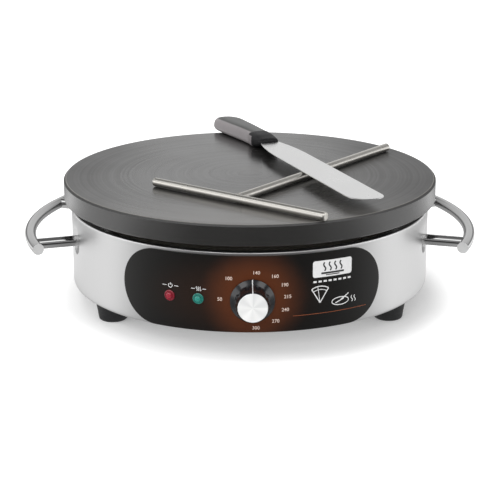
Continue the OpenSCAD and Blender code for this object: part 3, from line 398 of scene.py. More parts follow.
@dataclass(frozen=True)
class SheenSideMoulding(Moulding):
    """Moulding with a dark top and a lower side painted paler as sheen, parted at a height and at a place along the
    handle.
    """

    coat_roughness: float = 0.1
    patchy: float = 0.14
    # painted sheen: the paler colour of the lower side
    side: Colour = (0.27, 0.25, 0.255)
    worn: Colour = (0.02, 0.02, 0.02)
    part_z: float = 150.3
    part_along: float = 100.0
    origin: Point3 = (0.0, 0.0, 0.0)
    turn: float = 0.0

    def tint(self, net: Net, slow: Signal) -> Signal:
        """The dark top and the painted sheen of the side, with a slow wear."""
        x, y, z = net.parts(net.place((*self.origin[:2], 0.0)))
        turn = math.radians(self.turn)
        along = x * math.cos(turn) + y * math.sin(turn)
        below = 1.0 - net.step(z, self.part_z - 0.7, self.part_z + 0.3)
        behind = 1.0 - net.step(along, self.part_along - 0.6, self.part_along)
        # painted sheen: below the parting height and towards the butt the colour is paler
        base = net.mix(below * behind, self.colour, self.side)
        return net.mix(slow * 0.4, base, net.mix(0.5, base, self.worn))


@dataclass(frozen=True)
class SpunCap(Finish):
    """Spun aluminium disc with fine rings; its slice-shaped highlights are painted into the colour."""

    # colour and shade are the light and dark ends of the painted highlights in slices
    colour: Colour = (0.93, 0.93, 0.92)
    shade: Colour = (0.66, 0.67, 0.67)
    centre: Point3 = (0.0, 0.0, KNOB_Z)

    def draw(self, net: Net) -> None:
        """Draws rings round the disc's own centre, seen along Y, with painted highlights in slices and painted shade on
        the upper right.
        """
        x, _, z = net.parts(net.place(self.centre))
        rings = net.noise(net.joined(net.length(x, z) * 7000.0, 0.0, 0.0), 1.0, 3.0, 0.7)
        angle = net.math("ARCTAN2", z, x)
        # painted highlights in slices, by direction round the disc
        painted_fan = net.math("COSINE", angle * 6.0 + 0.6) * 0.5 + net.math("COSINE", angle * 2.0 - 1.9) * 0.5
        # painted shade on the upper right quarter of the disc
        split = net.step(x, -0.2, 0.2) * net.step(z, 0.0, 1.0)
        base = net.mix(painted_fan * 0.3 + 0.66 - split * 0.35, self.shade, self.colour)
        rough = 0.3 + (rings - 0.5) * 0.12
        net.surface(Base_Color=base, Metallic=0.06, Roughness=rough, Normal=net.bump(rings, 0.01, 0.4))


@dataclass(frozen=True)
class GlowPanel(Finish):
    """Glossy black overlay printed with a warm glow round the knob."""

    black: Colour = (0.007, 0.0065, 0.006)
    brown: Colour = (0.100, 0.025, 0.006)
    haze: Colour = (0.045, 0.018, 0.009)

    def draw(self, net: Net) -> None:
        """Draws the glow by distance along the curved panel."""
        place = net.place()
        x, y, z = net.parts(place)
        arc = net.math("ARCTAN2", x, y * -1.0) * (PANEL_R * MM)
        up = z - (KNOB_Z + 3.0) * MM
        cloud = net.noise(place, 28.0, 3.0, 0.6)
        distance = net.length((arc - 0.002) / 1.05, up)
        near = 1.0 - net.step(distance + (cloud - 0.5) * 0.010, 18.0, 56.0)
        wide = 1.0 - net.step(net.length((arc + 0.018) / 2.2, up), 12.0, 50.0)
        base = net.mix(near, net.mix(wide * 0.35, self.black, self.haze), self.brown)
        scuff = net.noise(place, 220.0, 3.0)
        net.surface(
            Base_Color=base, Roughness=0.34 + (scuff - 0.5) * 0.06, Coat_Weight=0.1, Coat_Roughness=0.15,
            Specular_IOR_Level=0.35, Normal=net.bump(scuff, 0.004, 0.2),
        )


@dataclass(frozen=True)
class LampLens(Finish):
    """Tinted lamp lens with a faceted inside."""

    colour: Colour = (0.30, 0.01, 0.03)
    centre: Point3 = (0.0, 0.0, 0.0)

    def draw(self, net: Net) -> None:
        """Draws a ringed, slightly cloudy tint, its middle painted lighter as a glow."""
        # painted glow: the middle of the lens is lighter
        painted_glow = 1.0 - net.step(net.length(*net.parts(net.place(self.centre))), 2.2, 4.0)
        cells = net.noise(net.place(), 700.0, 2.0)
        base = net.mix(painted_glow * 0.4 + (cells - 0.5) * 0.3, self.colour, toned(self.colour, 2.2, 0.01))
        net.surface(
            Base_Color=base, Roughness=0.22 + (cells - 0.5) * 0.08, Coat_Weight=0.5, Coat_Roughness=0.05,
            Normal=net.bump(cells, 0.03, 0.3),
        )


@dataclass(frozen=True)
class Ink(Finish):
    """Printed ink with a slightly uneven film."""

    colour: Colour = (0.8, 0.8, 0.8)

    def draw(self, net: Net) -> None:
        """Draws the film of ink."""
        film = net.noise(net.place(), 500.0, 2.0)
        base = net.mix(film, toned(self.colour, 0.86), self.colour)
        net.surface(Base_Color=base, Roughness=0.42 + (film - 0.5) * 0.1)


@dataclass(frozen=True)
class Fibre(Finish):
    """Matted mineral fibre."""

    colour: Colour = (0.34, 0.31, 0.26)

    def draw(self, net: Net) -> None:
        """Draws tangled strands."""
        place = net.place()
        strands = net.noise(place, 420.0, 6.0, 0.75)
        tufts = net.noise(place, 45.0, 4.0)
        base = net.mix(strands, toned(self.colour, 0.6), self.colour)
        height = strands * 0.6 + tufts * 0.4
        net.surface(Base_Color=base, Roughness=0.9 + (tufts - 0.5) * 0.1, Normal=net.bump(height, 0.5))


# ---------------------------------------------------------------- mesh helpers


def placed(name: str, data: bpy.types.ID) -> Item:
    """A new object with the given data, linked to the scene."""
    item = bpy.data.objects.new(name, data)
    bpy.context.scene.collection.objects.link(item)
    return item


def shade(item: Item, sharp: float) -> None:
    """Shades smoothly up to an angle, in degrees."""
    item.data.shade_smooth()
    item.data.set_sharp_from_angle(angle=math.radians(sharp))


@contextmanager
def mesh_work(item: Item, sharp: float) -> Iterator[bmesh.types.BMesh]:
    """Opens a mesh for changes, then turns its faces outwards and shades it."""
    work = bmesh.new()
    work.from_mesh(item.data)
    yield work
    bmesh.ops.recalc_face_normals(work, faces=work.faces)
    work.to_mesh(item.data)
    work.free()
    shade(item, sharp)


def tidy_mesh(item: Item, sharp: float = 35.0) -> None:
    """Merges doubles, turns faces outwards and shades smoothly up to an angle."""
    with mesh_work(item, sharp) as work:
        bmesh.ops.remove_doubles(work, verts=work.verts, dist=2e-6)
        bmesh.ops.dissolve_degenerate(work, edges=work.edges, dist=1e-7)


def close_holes(item: Item, sharp: float) -> None:
    """Joins the edges of a hole through two skins by a wall."""
    with mesh_work(item, sharp) as work:
        edges = [edge for edge in work.edges if edge.is_boundary]
        if edges:
            bmesh.ops.bridge_loops(work, edges=edges)


def make_object(name: str, verts: Sequence[Point3], faces: Sequence[Face], sharp: float = 35.0) -> Item:
    """Makes a mesh object from millimetres, with doubles merged and faces turned outwards.

    Args:
        name: the piece's name.
        verts: points in millimetres.
        faces: loops of point numbers.
        sharp: edges steeper than this angle stay crisp, in degrees.

    Returns:
        The object, linked to the scene.
    """
    mesh = bpy.data.meshes.new(name)
    mesh.from_pydata([(x * MM, y * MM, z * MM) for x, y, z in verts], [], faces)
    item = placed(name, mesh)
    tidy_mesh(item, sharp)
    return item


def dressed(name: str, solid: Solid, finish: Finish, sharp: float = 35.0, place: Matrix | None = None) -> Item:
    """Makes a mesh object and dresses it.

    Args:
        name: the piece's name.
        solid: its points, in millimetres, and faces.
        finish: what it wears.
        sharp: edges steeper than this angle stay crisp, in degrees.
        place: a transform in millimetres, applied first.

    Returns:
        The dressed object.
    """
    verts, faces = solid
    item = make_object(name, verts if place is None else moved(verts, place), faces, sharp)
    finish.dress(item)
    return item


def grid_faces(rows: int, columns: int, closed: bool = True) -> list[Face]:
    """Faces between rows of points.

    Args:
        rows: how many rows there are.
        columns: points in each row.
        closed: whether the last point of a row joins the first.

    Returns:
        The faces, row by row.
    """
    faces = []
    for low in range(0, (rows - 1) * columns, columns):
        high = low + columns
        for k in range(columns if closed else columns - 1):
            after = (k + 1) % columns
            faces.append((low + k, low + after, high + after, high + k))
    return faces


def lathe(profile: Sequence[Point2], steps: int = 96) -> Solid:
    """Turns a profile of (radius, height) points about +Z.

    Args:
        profile: the section; a closed one ends on its first point.
        steps: steps round the turn.

    Returns:
        Points and faces.
    """
    verts = [
        (r * math.cos(math.tau * k / steps), r * math.sin(math.tau * k / steps), z)
        for r, z in profile
        for k in range(steps)
    ]
    return verts, grid_faces(len(profile), steps)


def rounded(points: Sequence[Point3], steps: int = 5) -> list[Point2]:
    """Rounds the corners of an open line.

    Args:
        points: (x, y, corner radius) of each corner.
        steps: steps round each corner.

    Returns:
        The line's points.
    """
    line: list[Point2] = []
    for i, (x, y, radius) in enumerate(points):
        here = Vector((x, y))
        if radius <= 0 or i in (0, len(points) - 1):
            line.append((x, y))
            continue
        before = Vector(points[i - 1][:2]) - here
        after = Vector(points[i + 1][:2]) - here
        half = before.angle(after) / 2
        reach = min(radius / math.tan(half), before.length * 0.48, after.length * 0.48)
        start, end = here + before.normalized() * reach, here + after.normalized() * reach
        for k in range(steps + 1):
            t = k / steps
            spot = start * (1 - t) ** 2 + here * (2 * t * (1 - t)) + end * t * t
            line.append((spot.x, spot.y))
    return line


def moved(verts: Iterable[Point3], matrix: Matrix) -> list[Point3]:
    """Points after a transform, in millimetres."""
    return [tuple(matrix @ Vector(v)) for v in verts]


def combined(parts: Iterable[Solid]) -> Solid:
    """Puts several point and face lists into one."""
    verts: list[Point3] = []
    faces: list[Face] = []
    for more_verts, more_faces in parts:
        base = len(verts)
        verts.extend(more_verts)
        faces.extend(tuple(base + n for n in face) for face in more_faces)
    return verts, faces


def around_shaft(verts: Sequence[Point3], faces: Sequence[Face], radius: float) -> list[Face]:
    """Leaves out the front faces that the knob's shaft passes through."""
    kept = []
    for face in faces:
        middle = sum((Vector(verts[n]) for n in face), Vector()) / len(face)
        if middle.y > FRONT_Y or math.hypot(middle.x, middle.z - KNOB_Z) > radius:
            kept.append(face)
    return kept


def round_z(angle: float, radius: float, z: float) -> Matrix:
    """Place on a ring: turned by angle, out by radius, up by z."""
    return Matrix.Rotation(math.radians(angle), 4, "Z") @ Matrix.Translation((radius, 0.0, z))


def outwards(angle: float, radius: float, z: float) -> Matrix:
    """Place on a ring with +Z pointing away from the axis and +Y up."""
    facing = Matrix(((0, 0, 1, 0), (1, 0, 0, 0), (0, 1, 0, 0), (0, 0, 0, 1)))
    return round_z(angle, radius, z) @ facing


def baked(item: Item) -> Item:
    """Turns an object and its modifiers into a plain mesh under the same name."""
    bpy.context.view_layer.update()
    graph = bpy.context.evaluated_depsgraph_get()
    mesh = bpy.data.meshes.new_from_object(item.evaluated_get(graph), preserve_all_data_layers=True, depsgraph=graph)
    old = item.data
    item.modifiers.clear()
    item.data = mesh
    if old.users == 0:
        bpy.data.meshes.remove(old)
    mesh.name = item.name
    return item


def smooth_min(a: float, b: float, soft: float) -> float:
    """The lower of two values, rounded where they meet."""
    h = max(soft - abs(a - b), 0.0) / soft
    return min(a, b) - h * h * soft * 0.25


def offset_line(line: Sequence[Point2], depth: float) -> list[Point2]:
    """A line set off to the left of its run by a depth."""
    made = []
    for i, (x, y) in enumerate(line):
        before, after = Vector(line[max(i - 1, 0)]), Vector(line[min(i + 1, len(line) - 1)])
        run = (after - before).normalized()
        made.append((x - run.y * depth, y + run.x * depth))
    return made


def even_line(points: Sequence[Point2], width: float) -> list[Point3]:
    """A straight-sided stroke with steps short enough to follow a curved face."""
    line: list[Point3] = []
    for (x0, y0), (x1, y1) in zip(points, points[1:]):
        steps = max(1, int(math.hypot(x1 - x0, y1 - y0) / 2.0))
        line += [(x0 + (x1 - x0) * k / steps, y0 + (y1 - y0) * k / steps, width) for k in range(steps)]
    return [*line, (*points[-1], width)]


def ring_line(
    x: float, y: float, radius: float, start: float, end: float, width: float, squash: float = 1.0,
) -> list[Point3]:
    """A stroke round part of a circle or an oval, between two directions in degrees."""
    steps = max(8, int((end - start) / 9.0))
    turns = [math.radians(start + (end - start) * k / steps) for k in range(steps + 1)]
    return [(x + radius * math.cos(a), y + radius * squash * math.sin(a), width) for a in turns]


def wave_line(x: float, low: float, high: float, swing: float, width: float) -> list[Point3]:
    """A rising wavy stroke."""
    return [(x + swing * math.sin(math.tau * k / 14), low + (high - low) * k / 14, width) for k in range(15)]


def plate_line(length: float, height: float, corner: float) -> list[Point3]:
    """A filled plate with round corners, as one wide stroke."""
    straight = length / 2 - corner
    ends = [straight + corner * math.sin(math.radians(a)) for a in (0, 20, 40, 60, 75, 90)]
    between = [straight * (2 * k / 20 - 1) for k in range(1, 20)]
    line = []
    for x in [*(-x for x in reversed(ends)), *between, *ends]:
        over = max(abs(x) - straight, 0.0)
        line.append((x, 0.0, height - 2 * corner + 2 * math.sqrt(max(corner**2 - over**2, 0.01))))
    return line


def loft(rings: Sequence[Sequence[Point3]]) -> Solid:
    """Skins rings of equal count and closes both ends."""
    count = len(rings[0])
    verts = [point for ring in rings for point in ring]
    last = len(verts) - count
    return verts, [*grid_faces(len(rings), count), tuple(range(count)), tuple(range(last, last + count))]


def corner_arc(x: float, y: float, radius: float, start: float, steps: int) -> list[Point2]:
    """A quarter turn round a centre, from a direction in degrees."""
    turns = [math.radians(start + 90 * k / steps) for k in range(steps + 1)]
    return [(x + radius * math.cos(a), y + radius * math.sin(a)) for a in turns]


# ---------------------------------------------------------------- geometry nodes


class Recipe:
    """A Geometry Nodes tree under construction."""

    def __init__(self, name: str) -> None:
        """Starts a tree that takes no geometry and gives one out."""
        self.tree = bpy.data.node_groups.new(name, "GeometryNodeTree")
        self.tree.interface.new_socket("Geometry", in_out="OUTPUT", socket_type="NodeSocketGeometry")
        self.entry = self.tree.nodes.new("NodeGroupInput")
        self.idents: dict[str, str] = {}

    def slot(self, name: str, kind: str, default: float | None = None) -> GeoSocket:
        """Adds a named input of a type such as NodeSocketMaterial."""
        made = self.tree.interface.new_socket(name, in_out="INPUT", socket_type=kind)
        if default is not None:
            made.default_value = default
        self.idents[name] = made.identifier
        return self.entry.outputs[name]

    def size(self, name: str, default: float) -> GeoSocket:
        """Adds a named number to the tree's inputs."""
        return self.slot(name, "NodeSocketFloat", default)

    def node(self, kind: str, settings: Values | None = None, inputs: Values | None = None) -> bpy.types.Node:
        """Adds a node; inputs are values or sockets."""
        made = self.tree.nodes.new(kind)
        for key, value in (settings or {}).items():
            setattr(made, key, value)
        for key, value in (inputs or {}).items():
            for one in value if isinstance(value, list) else [value]:
                if isinstance(one, bpy.types.NodeSocket):
                    self.tree.links.new(one, made.inputs[key])
                else:
                    made.inputs[key].default_value = one
        return made

    def out(self, kind: str, inputs: Values | None = None, settings: Values | None = None) -> GeoSocket:
        """The first output of a new node."""
        return self.node(kind, settings, inputs).outputs[0]

    def math(self, operation: str, *values: Any) -> GeoSocket:
        """A Math node."""
        return self.out("ShaderNodeMath", dict(enumerate(values)), {"operation": operation})

    def joined(self, x: Any = 0.0, y: Any = 0.0, z: Any = 0.0) -> GeoSocket:
        """A vector from its three parts."""
        return self.out("ShaderNodeCombineXYZ", {0: x, 1: y, 2: z})

    def eased(self, value: GeoSocket, low: float, high: float, to_low: float, to_high: float) -> GeoSocket:
        """Maps low..high to another range, smoothly and clamped."""
        values = {"Value": value, "From Min": low, "From Max": high, "To Min": to_low, "To Max": to_high}
        return self.out("ShaderNodeMapRange", values, {"interpolation_type": "SMOOTHSTEP"})

    def rod(self, line: GeoSocket, radius: GeoSocket, taper: GeoSocket) -> GeoSocket:
        """A round rod with closed ends along a line; the taper is a share of the radius."""
        shaped = self.out("GeometryNodeSetCurveRadius", {0: line, "Radius": taper})
        ring = self.out("GeometryNodeCurvePrimitiveCircle", {"Resolution": 32, "Radius": radius})
        return self.out("GeometryNodeCurveToMesh", {0: shaped, 1: ring, "Fill Caps": True})

    def finish(self, geometry: GeoSocket) -> None:
        """Ends the tree in Realize Instances and Set Material."""
        finish = self.slot("Finish", "NodeSocketMaterial")
        real = self.out("GeometryNodeRealizeInstances", {0: geometry})
        worn = self.out("GeometryNodeSetMaterial", {0: real, "Material": finish})
        self.node("NodeGroupOutput", {}, {0: worn})

    def make(self, name: str, finish: Finish, sizes: dict[str, Any], sharp: float = 35.0) -> Item:
        """Runs the tree once and keeps its result as a plain mesh.

        Args:
            name: the piece's name.
            finish: what it wears.
            sizes: values of the named inputs.
            sharp: edges steeper than this angle stay crisp, in degrees.

        Returns:
            The finished object.
        """
        item = placed(name, bpy.data.meshes.new(name))
        modifier = item.modifiers.new("build", "NODES")
        modifier.node_group = self.tree
        for key, value in {**sizes, "Finish": finish.material()}.items():
            modifier[self.idents[key]] = value
        baked(item)
        tidy_mesh(item, sharp)
        finish.dress(item)
        for face in item.data.polygons:
            face.material_index = 0
        return item


def ring_recipe() -> Recipe:
    """A tree that sets copies of one part evenly round a ring."""
    recipe = Recipe("ring_of_parts")
    part = recipe.slot("Part", "NodeSocketObject")
    count = recipe.size("Count", 3.0)
    radius = recipe.size("Radius", 0.1)
    first = recipe.size("First Angle", 0.0)
    share = recipe.math("DIVIDE", recipe.out("GeometryNodeInputIndex"), count)
    angle = recipe.math("ADD", first, recipe.math("MULTIPLY", share, math.tau))
    x, y = (recipe.math("MULTIPLY", radius, recipe.math(wave, angle)) for wave in ("COSINE", "SINE"))
    points = recipe.out("GeometryNodePoints", {"Count": count, "Position": recipe.joined(x, y)})
    shape = recipe.node("GeometryNodeObjectInfo", {"transform_space": "ORIGINAL"}, {0: part}).outputs["Geometry"]
    places = {"Points": points, "Instance": shape, "Rotation": recipe.joined(z=angle)}
    recipe.finish(recipe.out("GeometryNodeInstanceOnPoints", places))
    return recipe


def handle_recipe() -> Recipe:
    """A tree that bends a handle's bar and stands it on two posts."""
    recipe = Recipe("bowed_handle")
    bow = recipe.size("Bow Radius", 0.227)
    half = recipe.size("Half Angle", 0.45)
    offset = recipe.size("Bow Centre", 0.0105)
    bar = recipe.size("Bar Radius", 0.006)
    post = recipe.size("Post Radius", 0.00575)
    spread = recipe.size("Post Angle", 0.35)
    seat = recipe.size("Seat", 0.187)
    reach = recipe.size("Reach", 0.2354)
    height = recipe.size("Height", 0.0765)
    turn = recipe.size("Turn", 0.0)
    along = recipe.node("GeometryNodeSplineParameter").outputs["Factor"]

    arc = recipe.out("GeometryNodeCurveArc", {
        "Resolution": 220, "Radius": bow, "Start Angle": recipe.math("MULTIPLY", half, -1.0),
        "Sweep Angle": recipe.math("MULTIPLY", half, 2.0),
    }, {"mode": "RADIUS"})
    from_end = recipe.math("MINIMUM", along, recipe.math("SUBTRACT", 1.0, along))
    bent = recipe.rod(arc, bar, recipe.eased(from_end, -0.002, 0.0042, 0.80, 1.0))
    pieces = [recipe.out("GeometryNodeTransform", {0: bent, "Translation": recipe.joined(offset)})]

    line = recipe.out("GeometryNodeCurvePrimitiveLine", {"Start": recipe.joined(seat), "End": recipe.joined(reach)})
    fine = recipe.out("GeometryNodeResampleCurve", {0: line, "Count": 60})
    weld = recipe.eased(along, 0.84, 0.96, 1.0, 0.97)
    foot = recipe.eased(along, -0.01, 0.016, 0.84, 1.0)
    stand = recipe.rod(fine, post, recipe.math("MULTIPLY", weld, foot))
    for side in (-1.0, 1.0):
        angle = recipe.joined(z=recipe.math("MULTIPLY", spread, side))
        pieces.append(recipe.out("GeometryNodeTransform", {0: stand, "Rotation": angle}))

    whole = recipe.out("GeometryNodeJoinGeometry", {0: pieces})
    place, facing = recipe.joined(z=height), recipe.joined(z=turn)
    recipe.finish(recipe.out("GeometryNodeTransform", {0: whole, "Translation": place, "Rotation": facing}))
    return recipe


# ---------------------------------------------------------------- sub-assemblies


@dataclass
class CookingPlate:
    """Turned plate with a chamfered rim, a recess below and bosses for its studs."""

    radius: float = PLATE_R
    top: float = PLATE_TOP
    bottom: float = 113.5
    recess_r: float = 188.0
    recess_z: float = 125.5
    boss_r: float = 12.0
    stud_r: float = 4.03
    finish: Finish = CastPlate("cast_plate")

    def build(self) -> Item:
        """Builds and dresses the plate.

        Returns:
            The plate.
        """
        top, radius = self.top, self.radius
        face = [(r, top, 0.0) for r in (0.0, 40.0, 80.0, 120.0, 150.0, 175.0, 190.0)]
        section = rounded([
            *face, (radius - 2.0, top, 0.5), (radius, top - 2.0, 0.5), (radius, self.bottom + 1.0, 0.4),
            (radius - 1.0, self.bottom, 0.4), (self.recess_r, self.bottom, 0.5),
            (self.recess_r, self.recess_z, 2.0), (0.0, self.recess_z, 0.0),
        ], 4)
        parts = [lathe(section, 288)]
        tall = self.recess_z - self.bottom
        boss = rounded([
            (self.stud_r, tall, 0.0), (self.stud_r, 0.0, 0.4), (self.boss_r, 0.0, 0.8), (self.boss_r, tall + 0.2, 0.0),
        ], 4)
        verts, faces = lathe(boss, 40)
        for angle in FOOT_ANGLES:
            parts.append((moved(verts, round_z(angle, FOOT_RING_R, self.bottom)), faces))
        plate = dressed("plate_dressed", combined(parts), self.finish)
        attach(plate, "cooker")
        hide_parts("cooking_plate")
        return plate


@dataclass
class Housing:
    """Spun steel drum, dimpled where the handle posts sit."""

    radius: float = 192.5
    wall: float = 1.0
    low: float = 22.5
    high: float = 105.5
    corner: float = 5.0
    lip: float = 3.0
    flange_r: float = 135.5
    edge_r: float = 184.5
    edge_low: float = 101.5
    post_azimuths: tuple[float, ...] = (-16.5, 23.5, 156.5, 196.5)
    post_z: float = 76.5
    hollow_r: float = 20.0
    hollow_x: float = 205.9
    hollow_blend: float = 0.6
    rim_blend: float = 1.4
    hollow_reach: tuple[float, float] = (0.14, 24.0)
    seat_r: float = 187.0
    shaft_hole: float = 7.5
    finish: Finish = SheetMetal("steel_shell", (0.80, 0.80, 0.80), 0.36, Lay.ROUND)

    def wall_r(self, azimuth: float, z: float) -> float:
        """Radius of the wall's outside, with its dimples.

        Args:
            azimuth: direction in degrees.
            z: height in millimetres.

        Returns:
            The radius in millimetres.
        """
        best = self.radius
        widest, tallest = self.hollow_reach
        for post in self.post_azimuths:
            off = math.radians((azimuth - post + 180.0) % 360.0 - 180.0)
            rise = z - self.post_z
            inside = self.hollow_r**2 - rise**2 - (self.hollow_x * math.sin(off)) ** 2
            if abs(off) > widest or abs(rise) > tallest or inside <= 0.0:
                continue
            ball = self.hollow_x * math.cos(off) - math.sqrt(inside)
            floor = self.seat_r / math.cos(off)
            hollow = -smooth_min(-ball, -floor, self.hollow_blend)
            best = min(best, smooth_min(self.radius, hollow, self.rim_blend))
        return best

    def azimuths(self) -> list[float]:
        """Directions of the mesh's columns, closer together at the dimples."""
        coarse, fine, reach = 2.0, 0.34, 16
        spots = {round(k * coarse, 3) for k in range(int(360.0 / coarse))}
        for post in self.post_azimuths:
            spots |= {round((post + k * fine) % 360.0, 3) for k in range(-reach, reach + 1)}
        return sorted(spots)

    def build(self) -> Item:
        """Builds and dresses the drum.

        Returns:
            The drum.
        """
        r, low, high = self.radius, self.low, self.high
        foot = rounded([
            (self.flange_r, low, 0.0), (160.0, low, 0.0), (r, low, self.corner), (r, low + self.corner + 1.0, 0.0),
        ], 6)
        levels = sorted({*range(30, 103, 4), *(self.post_z + k * 1.25 for k in range(-14, 15)), 101.5})
        rise = [(r, float(z)) for z in levels if low + self.corner + 1.2 < z < high - self.lip]
        rim = rounded([
            (r, high - self.lip - 0.6, 0.0), (r, high, self.lip),
            (self.edge_r, high, 0.9), (self.edge_r, self.edge_low, 0.0),
        ], 6)
        outer = [*foot, *rise, *rim]
        section = [*outer, *reversed(offset_line(outer, self.wall)), outer[0]]
        columns = self.azimuths()
        verts: list[Point3] = []
        for radius, z in section:
            on_wall = min(abs(radius - r), abs(radius - r + self.wall)) < 1e-6
            for azimuth in columns:
                out = radius + self.wall_r(azimuth, z) - r if on_wall else radius
                spin = math.radians(azimuth)
                verts.append((out * math.cos(spin), out * math.sin(spin), z))
        faces = around_shaft(verts, grid_faces(len(section), len(columns)), self.shaft_hole)
        shell = make_object("housing_dressed", verts, faces, 40.0)
        close_holes(shell, 40.0)
        self.finish.dress(shell)
        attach(shell, "cooker")
        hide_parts("housing_shell")
        return shell


